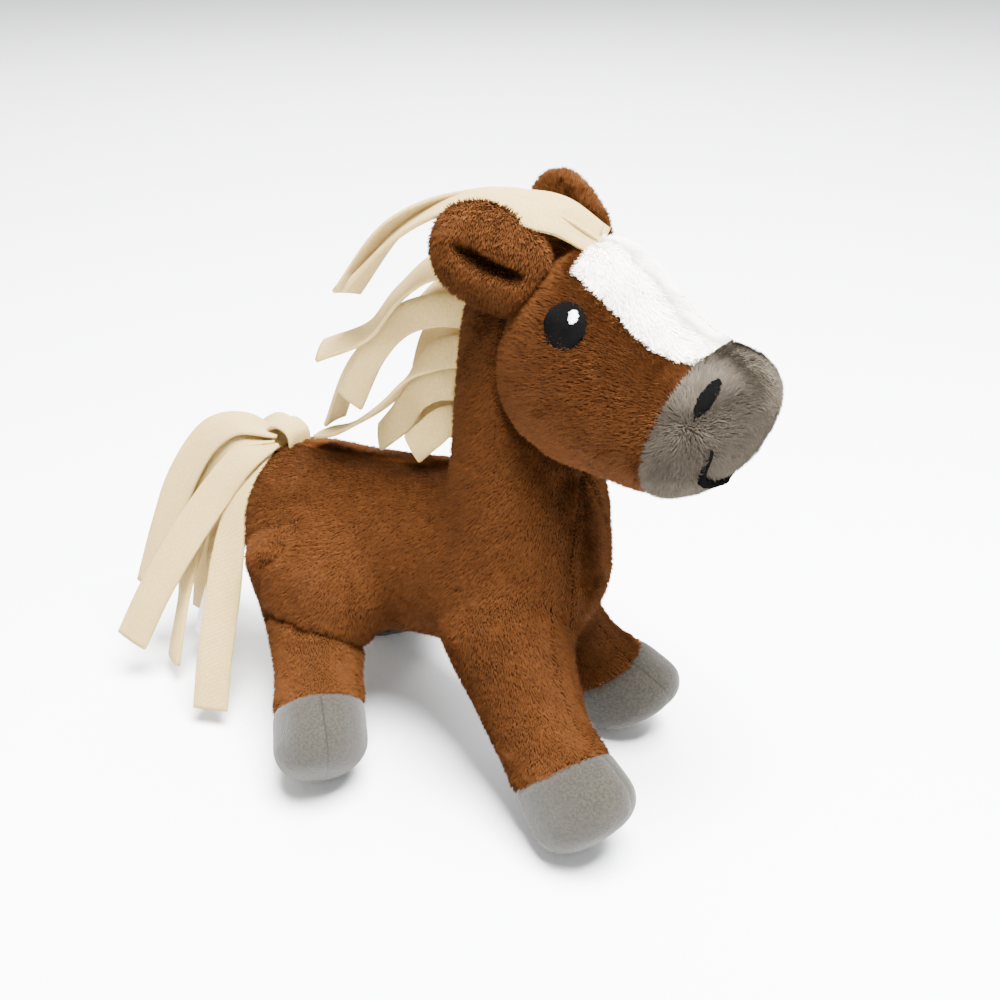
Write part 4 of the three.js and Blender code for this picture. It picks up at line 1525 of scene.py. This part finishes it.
    def _thread(self) -> bpy.types.NodeTree:
        """A round thread along every line of the mesh it is given.

        Returns:
            The tree.
        """
        sizes = {
            "Thickness": ("NodeSocketFloat", 0.3 * MM),
            "Sides": ("NodeSocketInt", 6),
            "Material": ("NodeSocketMaterial", None),
        }
        graph, given, sink = geometry_group("Thread", sizes)
        line = graph.add("GeometryNodeMeshToCurve", {"Mesh": given["Geometry"]})
        radius = graph.maths("MULTIPLY", given["Thickness"], 0.5)
        values = {"Resolution": given["Sides"], "Radius": radius}
        ring = graph.add("GeometryNodeCurvePrimitiveCircle", values)
        values = {"Curve": line.outputs[0], "Profile Curve": ring.outputs[0], "Fill Caps": True}
        tube = graph.add("GeometryNodeCurveToMesh", values)
        smooth = graph.add("GeometryNodeSetShadeSmooth", {"Geometry": tube.outputs[0]})
        real = graph.add("GeometryNodeRealizeInstances", {"Geometry": smooth.outputs[0]})
        values = {"Geometry": real.outputs[0], "Material": given["Material"]}
        graph.put(graph.add("GeometryNodeSetMaterial", values).outputs[0], sink.inputs["Geometry"])
        return graph.tree


@dataclass
class Workshop:
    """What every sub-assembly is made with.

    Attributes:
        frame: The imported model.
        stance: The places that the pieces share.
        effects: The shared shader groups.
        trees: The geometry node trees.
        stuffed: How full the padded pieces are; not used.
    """

    frame: dict[str, object]
    stance: Stance
    effects: Effects = field(default_factory=Effects)
    trees: Trees = field(default_factory=Trees)
    stuffed: float = 0.9

    def weave(self, cloth: Cloth) -> bpy.types.Material:
        """A cloth's material."""
        return cloth.material(self.effects)

    def walled(self, obj: bpy.types.Object, thickness: float) -> None:
        """Gives a piece of cloth its thickness, inwards."""
        wall = obj.modifiers.new("Solidify", "SOLIDIFY")
        wall.thickness, wall.offset = thickness, -1.0

    def finish(self, obj: bpy.types.Object, slot: str, *nodes: str) -> bpy.types.Object:
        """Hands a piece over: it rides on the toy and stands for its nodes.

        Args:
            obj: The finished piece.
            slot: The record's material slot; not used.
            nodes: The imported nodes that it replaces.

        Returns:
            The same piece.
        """
        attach(obj, BODY)
        if nodes:
            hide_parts(*nodes)
        log.info("%s: %d faces", obj.name, len(obj.data.polygons))
        return obj


@dataclass
class PlushSkins:
    """The sewn plush pieces: a backing cloth with a pile on it.

    Attributes:
        shop: What it is made with.
        backings: The cloth of each kind of plush.
        piles: Its pile.
        backing_thickness: The cloth under the pile.
        fibres_per_piece: How many fibres one piece may hold.
        parted_along: The way in which a pile too large for one piece is parted.
        tones: The materials of each pile.
    """

    shop: Workshop
    backings: dict[str, bpy.types.Material]
    piles: dict[str, Pile]
    backing_thickness: float = 1.0 * MM
    fibres_per_piece: int = 46000
    parted_along: tuple[float, float, float] = (1.0, 0.0, 0.6)
    tones: dict[str, list[bpy.types.Material]] = field(init=False)

    def __post_init__(self) -> None:
        """Mixes each pile's tones."""
        self.tones = {pile.name: pile.materials() for pile in self.piles.values()}

    def kind(self, name: str) -> str:
        """The pile that a piece is made of."""
        return {"muzzle_cover": "grey", "blaze": "white"}.get(name, "chestnut")

    def dress(self, patch: Patch) -> None:
        """Makes one piece's backing and its pile.

        Args:
            patch: The piece, cut from the coat.
        """
        pile = self.piles[self.kind(patch.name)]
        mesh = mesh_of(patch.name, patch.points, patch.faces)
        set_values(mesh, away=patch.away, aside=patch.aside)
        backing = shown(patch.name + "_backing", mesh)
        self.shop.walled(backing, self.backing_thickness)
        mesh.materials.append(self.backings[self.kind(patch.name)])
        self.shop.finish(backing, pile.slot, patch.name)
        self._grow(patch, pile)

    def _grow(self, patch: Patch, pile: Pile) -> None:
        """Grows the pile, in as many pieces as its fibres need.

        Args:
            patch: The piece, cut from the coat.
            pile: Its pile.
        """
        corners = patch.points[patch.faces]
        areas = quad_areas(corners)
        order = np.argsort(corners.mean(axis=1) @ np.array(self.parted_along))
        number = math.ceil(areas.sum() * pile.density / self.fibres_per_piece)
        share = np.cumsum(areas[order]) / areas.sum()
        tones = {f"Tone {k + 1}": material for k, material in enumerate(self.tones[pile.name])}
        for step in range(number):
            chosen = order[(share > step / number) & (share <= (step + 1) / number)]
            points, faces, used = trimmed(patch.points, patch.faces[chosen])
            mesh = mesh_of("ground", points, faces)
            set_values(mesh, lay=patch.lay[used], cover=patch.cover[used], length=patch.length[used])
            ground = shown("ground", mesh)
            values = {
                "Density": pile.density,
                "Length": pile.length,
                "Thickness": pile.thickness,
                "Rise": pile.rise,
                "Wander": pile.wander,
                "Ribs": pile.ribs,
                "Patchy": pile.patchy,
                "Seed": step + 1,
                **tones,
            }
            fibres = shown(f"pile_{patch.name}_{step + 1}", grown(ground, self.shop.trees.pile, values))
            discard(ground)
            self.shop.finish(fibres, pile.slot)


@dataclass
class Ears:
    """The two folded ears, each a skin of its own.

    Attributes:
        shop: What they are made with.
        skins: The plush they are sewn from.
        voxel: The size of an ear's faces.
        rounds: How often its surface is evened out.
        pile_room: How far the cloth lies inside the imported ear, which has room for the pile.
        trim: How long its pile is beside the coat's.
        hang: How far forward, outward and up the pile points where it is brushed.
        brushed: How strongly the pile of each ear is.
    """

    shop: Workshop
    skins: PlushSkins
    voxel: float = 0.7 * MM
    rounds: int = 14
    pile_room: float = 0.5 * MM
    trim: float = 0.9
    hang: tuple[float, float, float] = (0.2, 0.5, -0.75)
    brushed: dict[str, float] = field(default_factory=lambda: {"right": 1.0, "left": 0.0})

    def build(self) -> None:
        """Makes and dresses both ears."""
        for side in SIDES:
            name = f"ear_{side}"
            raw, faces = remeshed(*node_arrays(self.shop.frame, name), self.voxel)
            points = relaxed(raw, edges_of(faces)[0], self.rounds)
            points = points - normals_of(points, faces) * self.pile_room
            out = unit(points - self.shop.stance.place(self.shop.stance.skull))
            ahead, aside, up = self.hang
            down = unit(np.array([[ahead, math.copysign(aside, out[:, 1].mean()), up]]))
            lay = unit(out + self.brushed[side] * (down - out))
            whole = np.ones(len(points))
            self.skins.dress(Patch(name, points, faces, lay, whole, whole * self.trim, whole, whole))


@dataclass
class Hooves:
    """The knit hooves with their soles.

    Attributes:
        shop: What they are made with.
        knit: Their cloth.
        thickness: How thick it is.
    """

    shop: Workshop
    knit: bpy.types.Material
    thickness: float = 0.8 * MM

    def dress(self, patch: Patch) -> None:
        """Makes a hoof's or a sole's cloth.

        Args:
            patch: The piece, cut from the coat.
        """
        mesh = mesh_of(patch.name, patch.points, patch.faces)
        middle = patch.points.mean(axis=0)
        cloth = patch.points - middle
        if not patch.name.startswith("sole"):
            radius = np.linalg.norm(cloth[:, :2], axis=1).mean()
            around = np.arctan2(cloth[:, 1], -cloth[:, 0]) * radius
            cloth = np.column_stack([around, patch.points[:, 2], np.zeros(len(around))])
        set_values(mesh, cloth=cloth, away=patch.away, aside=patch.aside)
        made = shown(patch.name + "_knit", mesh)
        finer = made.modifiers.new("Finer", "SUBSURF")
        finer.levels = finer.render_levels = 1
        self.shop.walled(made, self.thickness)
        mesh.materials.append(self.knit)
        self.shop.finish(made, "grey_knit", patch.name)


@dataclass
class Fillings:
    """The loose fibre inside.

    Attributes:
        shop: What it is made with.
        fibre: Its material.
        voxel: The size of a wad's faces.
        rounds: How often its surface is evened out.
        room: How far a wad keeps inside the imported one.
        floor: The lowest that a wad may lie, for the soles under it.
    """

    shop: Workshop
    fibre: bpy.types.Material
    voxel: float = 2.0 * MM
    rounds: int = 4
    room: float = 1.2 * MM
    floor: float = 2.5 * MM

    def build(self, names: list[str]) -> None:
        """Makes each filling a little smaller than the skin round it.

        Args:
            names: The filling nodes.
        """
        for name in names:
            points, faces = remeshed(*node_arrays(self.shop.frame, name), self.voxel)
            points = relaxed(points, edges_of(faces)[0], self.rounds)
            points = points - normals_of(points, faces) * self.room
            points[:, 2] = np.maximum(points[:, 2], self.floor)
            made = shown(name + "_wad", mesh_of(name, points, faces))
            made.data.materials.append(self.fibre)
            self.shop.finish(made, "fibre_filling", name)


class Stitching(Enum):
    """Which way the satin stitches of a motif run."""

    ACROSS = "across"
    ALONG = "along"


@dataclass
class Embroidery:
    """The eyes, nostrils and mouth, worked in thread through the plush.

    Attributes:
        shop: What they are made with.
        coat: The skin that they are worked on.
        black: The black thread.
        white: The white thread.
        spacing: From one thread to the next.
        thickness: One thread.
        steps: How many points a thread has.
        ragged: How unevenly the stitches end.
        fewest: How many half spacings across a stitch needs at least.
        blunt: How quickly a stitch rises from the cloth, less being quicker.
        eye_height: How far the middle of an eye's stitches stands off the backing.
        glint_height: The same for a glint.
        nostril_height: The same for each nostril.
        mouth_height: The same for the mouth.
        glint_inset: How far a glint keeps inside its node's edge.
        mouth_droop: How far the mouth's middle and left end hang below its node.
        droop_range: Where the mouth begins to hang and hangs fully, in half widths to the left.
    """

    shop: Workshop
    coat: Coat
    black: bpy.types.Material
    white: bpy.types.Material
    spacing: float = 0.26 * MM
    thickness: float = 0.36 * MM
    steps: int = 9
    ragged: float = 0.12 * MM
    fewest: int = 3
    blunt: float = 0.3
    eye_height: float = 1.1 * MM
    glint_height: float = 1.45 * MM
    nostril_height: dict[str, float] = field(default_factory=lambda: {"right": 1.15 * MM, "left": 0.6 * MM})
    mouth_height: float = 1.9 * MM
    glint_inset: float = 0.3 * MM
    mouth_droop: float = 3.6 * MM
    droop_range: tuple[float, float] = (-0.3, 0.2)

    def build(self) -> None:
        """Works every motif."""
        for side in SIDES:
            self.work(f"eye_{side}", Stitching.ALONG, self.eye_height)
            self.work(f"eye_glint_{side}", Stitching.ACROSS, self.glint_height, inset=self.glint_inset)
            self.work(f"nostril_{side}", Stitching.ACROSS, self.nostril_height[side])
        self.work("mouth", Stitching.ACROSS, self.mouth_height, droop=self.mouth_droop)

    def work(
        self, name: str, way: Stitching, height: float, inset: float = 0.0, droop: float = 0.0
    ) -> None:
        """Works one motif where its node lies.

        Args:
            name: The node.
            way: The way its stitches run.
            height: How far the middle of a stitch stands off the backing.
            inset: How far the stitches keep inside the node's edge.
            droop: How far the motif hangs below its node, but for its right end.
        """
        points, faces = node_arrays(self.shop.frame, name)
        middle = points.mean(axis=0)
        out, short, long = np.linalg.eigh(np.cov((points - middle).T))[1].T
        if out @ (middle - self.shop.stance.place(self.shop.stance.skull)) < 0:
            out = -out
        if way is Stitching.ALONG:
            short, long = long, short
        if long[1] < 0:
            long = -long
        node = tree_of(points, faces)
        reach, width = (np.abs((points - middle) @ axis).max() for axis in (long, short))
        down = short * -np.sign(short[2])
        uneven = np.random.default_rng(len(name))
        start, full = self.droop_range
        lines = []
        for place in np.arange(inset - reach, reach - inset, self.spacing):
            hang = down * droop * min(max((place / reach - start) / (full - start), 0.0), 1.0)
            row = middle + long * place
            span = [
                across
                for across in np.arange(-width, width, self.spacing / 2)
                if node.ray_cast(Vector(row + short * across + out * RAY_START), Vector(-out), RAY_REACH)[0]
            ]
            if len(span) >= self.fewest:
                ends = (span[0] + inset, span[-1] - inset) + uneven.normal(0, self.ragged, 2)
                lines.append(self._stitch(row + hang, short, ends, out, height))
        spots = np.concatenate(lines)
        pairs = [(k, k + 1) for k in range(len(spots) - 1) if (k + 1) % self.steps]
        mesh = bpy.data.meshes.new(name)
        mesh.from_pydata(spots.tolist(), pairs, [])
        base = shown("stitches", mesh)
        thread, slot = (self.white, "white_thread") if "glint" in name else (self.black, "black_thread")
        values = {"Thickness": self.thickness, "Material": thread}
        made = shown(name + "_stitches", grown(base, self.shop.trees.thread, values))
        discard(base)
        self.shop.finish(made, slot, name)

    def _stitch(
        self, row: np.ndarray, short: np.ndarray, ends: np.ndarray, out: np.ndarray, height: float
    ) -> np.ndarray:
        """Lays one stitch from cloth to cloth, over the padding.

        Args:
            row: The middle of its row.
            short: The way it runs.
            ends: How far along it starts and ends.
            out: The way out of the cloth.
            height: How far its middle stands off the cloth.

        Returns:
            The stitch's points.
        """
        spots = []
        for share in np.linspace(0, 1, self.steps):
            start = row + short * (ends[0] + (ends[1] - ends[0]) * share) + out * RAY_START
            hit, normal, _, _ = self.coat.tree.ray_cast(Vector(start), Vector(-out))
            lift = height * math.sin(math.pi * min(max(share, 0.02), 0.98)) ** self.blunt
            spots.append(np.array(hit) + np.array(normal) * lift)
        return np.array(spots)


@dataclass
class FleeceStrips:
    """The cut fleece strips of the mane, forelock and tail, and the bare care label.

    Attributes:
        shop: What they are made with.
        fleece: The strips' cloth.
        satin: The label's tape.
        width: The width of a strip of the mane, forelock or tail loop.
        tail_width: The width of a strip that hangs in the tail.
        thickness: The fleece's thickness.
        label_width: The care label's width.
        label_thickness: How thick its doubled tape is.
        steps: How many rows a strip has.
        cup: How far a strip's middle bows out of its edges.
        bows: How many times it changes from one face to the other.
        rounding: How round a cut edge is, as a share of the thickness.
    """

    shop: Workshop
    fleece: bpy.types.Material
    satin: bpy.types.Material
    width: float = 9.4 * MM
    tail_width: float = 11.6 * MM
    thickness: float = 1.4 * MM
    label_width: float = 15.0 * MM
    label_thickness: float = 0.5 * MM
    steps: int = 56
    cup: float = 1.0 * MM
    bows: int = 3
    rounding: float = 0.22

    def build(self) -> None:
        """Makes every strip."""
        for name, (places, ways) in STRIPS.items():
            label = name == "care_label"
            broad = self.tail_width if name.startswith("tail_strip") else self.width
            width, thickness = (self.label_width, self.label_thickness) if label else (broad, self.thickness)
            line = self._curve(np.array([self.shop.stance.place(place) for place in places]))
            facing = self._curve(unit(np.array(ways, float)))
            mesh = self._ribbon(name, line, facing, width, thickness)
            made = shown(name + "_cut", mesh)
            made.data.materials.append(self.satin if label else self.fleece)
            self.shop.finish(made, "label_satin" if label else "cream_fleece", name)

    def _curve(self, spots: np.ndarray) -> np.ndarray:
        """Draws a smooth line through the given places, evenly in each span.

        Args:
            spots: The places.

        Returns:
            The line's points, one for each row of a strip.
        """
        row = np.vstack([2 * spots[0] - spots[1], spots, 2 * spots[-1] - spots[-2]])
        found = []
        spans = len(spots) - 1
        for step in range(self.steps + 1):
            whole = min(int(step * spans / self.steps), spans - 1)
            share = step * spans / self.steps - whole
            p0, p1, p2, p3 = row[whole : whole + 4]
            gaps = ((p0, p1), (p1, p2), (p2, p3))
            d0, d1, d2 = (max(np.linalg.norm(b - a), 1e-9) ** 0.5 for a, b in gaps)
            m1 = ((p1 - p0) / d0 - (p2 - p0) / (d0 + d1) + (p2 - p1) / d1) * d1
            m2 = ((p2 - p1) / d1 - (p3 - p1) / (d1 + d2) + (p3 - p2) / d2) * d1
            a = 2 * p1 - 2 * p2 + m1 + m2
            b = -3 * p1 + 3 * p2 - 2 * m1 - m2
            found.append(((a * share + b) * share + m1) * share + p1)
        return np.array(found)

    def _ribbon(
        self, name: str, line: np.ndarray, facing: np.ndarray, width: float, thickness: float
    ) -> bpy.types.Mesh:
        """Cuts a strip.

        Args:
            name: Its mesh's name.
            line: Its middle line.
            facing: The way its face points at each row.
            width: Its width.
            thickness: Its thickness.

        Returns:
            The strip, with its own lengths along and across as the attribute cloth.
        """
        along = unit(np.gradient(line, axis=0))
        aside = unit(np.cross(along, facing))
        up = np.cross(aside, along)
        half, thin, edge = width / 2, thickness / 2, thickness * self.rounding
        top = [(-half, thin - edge), (-half + edge, thin), (-half / 2, thin), (0, thin), (half / 2, thin)]
        top += [(half - edge, thin), (half, thin - edge)]
        profile = np.array(top + [(x, -z) for x, z in reversed(top)])
        waves = np.sin(np.linspace(0, self.bows * math.pi, len(line)) + len(name))
        cup = self.cup if thickness == self.thickness else 0.0
        bowed = cup * (1 - (2 * profile[:, 0] / width) ** 2)
        across = line[:, None] + aside[:, None] * profile[None, :, :1]
        lift = profile[None, :, 1] + bowed[None] * waves[:, None]
        points = (across + up[:, None] * lift[..., None]).reshape(-1, 3)
        far = np.concatenate([[0], np.cumsum(np.linalg.norm(np.diff(line, axis=0), axis=1))])
        cloth = np.stack(np.broadcast_arrays(profile[None, :, 0], far[:, None], profile[None, :, 1]), axis=2)
        count = len(profile)
        rows, ring = np.arange(len(line) - 1)[:, None] * count, np.arange(count)
        after = np.roll(ring, -1)
        corners = [rows + ring, rows + after, rows + count + after, rows + count + ring]
        faces = np.stack(corners, axis=2).reshape(-1, 4)
        low = np.arange(count // 2 - 1)
        cap = np.column_stack([low, count - 1 - low, count - 2 - low, low + 1])
        last = (len(line) - 1) * count
        faces = np.vstack([faces, cap, cap[:, ::-1] + last])
        mesh = mesh_of(name, points, faces if volume_of(points, faces) > 0 else faces[:, ::-1])
        set_values(mesh, cloth=cloth.reshape(-1, 3))
        return mesh


@dataclass(frozen=True)
class Lamp:
    """A soft square light that shines on the toy.

    Attributes:
        place: Where it hangs, in metres.
        size: The length of its side.
        power: Its watts.
    """

    place: tuple[float, float, float]
    size: float
    power: float


@dataclass
class Studio:
    """The pale floor, the soft lights and the camera.

    Attributes:
        stance: The places that the pieces share.
        aim: What the camera looks at, in millimetres from the rump on the floor.
        stand: Where it stands from there, in millimetres.
        lens: Its focal length, in its own millimetres.
        sensor: Its sensor's width.
        clip: The nearest that it sees.
        floor_size: The floor's side.
        paper: The floor's colour.
        matt: How matt the floor is.
        glow: How much the floor shines of itself, as a lit sweep does.
        sky: The colour of the light all round.
        daylight: How strong it is.
        lit: The height of the place that the lamps shine on.
        lamps: The lamps.
    """

    stance: Stance
    aim: tuple[float, float, float] = (92.0, 0.0, 85.0)
    stand: tuple[float, float, float] = (215.7, -296.8, 186.9)
    lens: float = 50.4
    sensor: float = 36.0
    clip: float = 10.0 * MM
    floor_size: float = 8.0
    paper: tuple[float, ...] = (0.9, 0.91, 0.915, 1.0)
    matt: float = 0.8
    glow: float = 0.06
    sky: tuple[float, ...] = (0.97, 0.98, 1.0, 1.0)
    daylight: float = 0.62
    lit: float = 70.0 * MM
    lamps: dict[str, Lamp] = field(
        default_factory=lambda: {
            "key": Lamp((0.3, -0.1, 1.1), 0.6, 170.0),
            "fill": Lamp((0.5, -1.3, 0.6), 1.2, 7.0),
            "back": Lamp((-0.6, 0.8, 0.9), 0.9, 28.0),
        }
    )

    def build(self) -> None:
        """Sets up the floor, the lights and the camera."""
        self._floor()
        for name, lamp in self.lamps.items():
            self._light(name, lamp)
        world = bpy.data.worlds.new("studio")
        world.use_nodes = True
        background = world.node_tree.nodes["Background"]
        background.inputs["Color"].default_value = self.sky
        background.inputs["Strength"].default_value = self.daylight
        bpy.context.scene.world = world
        self._camera()

    def _floor(self) -> None:
        """Lays the floor."""
        half = self.floor_size / 2
        corners = np.array([(-half, -half, 0), (half, -half, 0), (half, half, 0), (-half, half, 0)], float)
        floor = shown("floor", mesh_of("floor", corners, np.array([[0, 1, 2, 3]])))
        settings = {
            "Base Color": self.paper,
            "Roughness": self.matt,
            "Emission Color": (1.0, 1.0, 1.0, 1.0),
            "Emission Strength": self.glow,
        }
        floor.data.materials.append(bare_material("paper", settings)[0])

    def _camera(self) -> None:
        """Stands the camera where the photograph was taken from."""
        camera = shown("camera", bpy.data.cameras.new("camera"))
        camera.data.lens, camera.data.sensor_width = self.lens, self.sensor
        camera.data.clip_start = self.clip
        target = Vector(self.stance.place(self.aim))
        camera.location = target + Vector(self.stand) * MM
        camera.rotation_euler = (target - camera.location).to_track_quat("-Z", "Y").to_euler()
        bpy.context.scene.camera = camera

    def _light(self, name: str, lamp: Lamp) -> None:
        """Hangs a lamp.

        Args:
            name: Its name.
            lamp: Its place, size and power.
        """
        light = bpy.data.lights.new(name, "AREA")
        light.size, light.energy = lamp.size, lamp.power
        made = shown(name, light)
        made.location = lamp.place
        made.rotation_euler = (Vector((0, 0, self.lit)) - made.location).to_track_quat("-Z", "Y").to_euler()


def plush(shop: Workshop) -> PlushSkins:
    """Chooses the three plushes.

    Args:
        shop: What the pieces are made with.

    Returns:
        The maker of the plush pieces.
    """
    dark = {"sheen": 0.0, "shine": 0.02}
    chestnut = Cloth("chestnut_backing", CHESTNUT_ROOT, CHESTNUT_DEEP, seam_width=1.2 * MM, **dark)
    backings = {
        "chestnut": shop.weave(chestnut),
        "white": shop.weave(Cloth("white_backing", WHITE_ROOT, WHITE_DEEP, sheen=0.0)),
        "grey": shop.weave(Cloth("grey_backing", GREY_ROOT, GREY_DEEP, **dark)),
    }
    soft = {"rise": 0.9, "ribs": 0.0}
    white = Pile("white_pile", "white_plush", WHITE, 2.0 * MM, 0.4 * MM, patchy=0.0, gains=PALE, **soft)
    piles = {
        "chestnut": Pile(
            "chestnut_pile", "chestnut_plush", CHESTNUT, 1.4 * MM, ribs=0.34, patchy=0.5, veil=0.05
        ),
        "white": white,
        "grey": Pile(
            "grey_pile", "grey_plush", GREY, 1.9 * MM, wander=0.6, patchy=0.4, gains=EVEN, **soft
        ),
    }
    return PlushSkins(shop, backings, piles)


def main() -> None:
    """Builds the toy and its studio."""
    logging.basicConfig(level=logging.INFO, format="%(message)s")
    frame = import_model()
    stance = Stance()
    shop = Workshop(frame, stance)
    skins = plush(shop)
    coat = Coat(frame, stance)
    patches = coat.build()
    brushed = {"sheen": 0.08, "mottle_scale": 1400.0, "contrast": 4.5, "nap_depth": 0.5 * MM}
    hooves = Hooves(shop, shop.weave(Cloth("hoof_knit", KNIT, KNIT_DEEP, seam_width=0.5 * MM, **brushed)))
    for patch in patches:
        maker = hooves if patch.name.startswith(("hoof", "sole")) else skins
        maker.dress(patch)
    Ears(shop, skins).build()
    fibre = shop.weave(Cloth("loose_fibre", FIBRE, FIBRE_DEEP, nap_scale=700.0))
    Fillings(shop, fibre).build(coat.fillings())
    black = shop.weave(Cloth("black_thread", BLACK, BLACK_DEEP, 0.8, 0.0, nap_depth=0.05 * MM, shine=0.0))
    white = shop.weave(Cloth("white_thread", THREAD_WHITE, THREAD_WHITE_DEEP, 0.4, 0.1))
    Embroidery(shop, coat, black, white).build()
    cut = {"sheen": 0.04, "mottle_scale": 1500.0, "contrast": 2.0, "nap_depth": 1.0 * MM, "knit": True}
    fleece = shop.weave(Cloth("cream_fleece", FLEECE, FLEECE_DEEP, **cut))
    satin = shop.weave(Cloth("label_satin", SATIN, SATIN_DEEP, 0.45, 0.1, nap_depth=0.04 * MM))
    FleeceStrips(shop, fleece, satin).build()
    Studio(stance).build()
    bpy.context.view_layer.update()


if __name__ == "__main__":
    main()
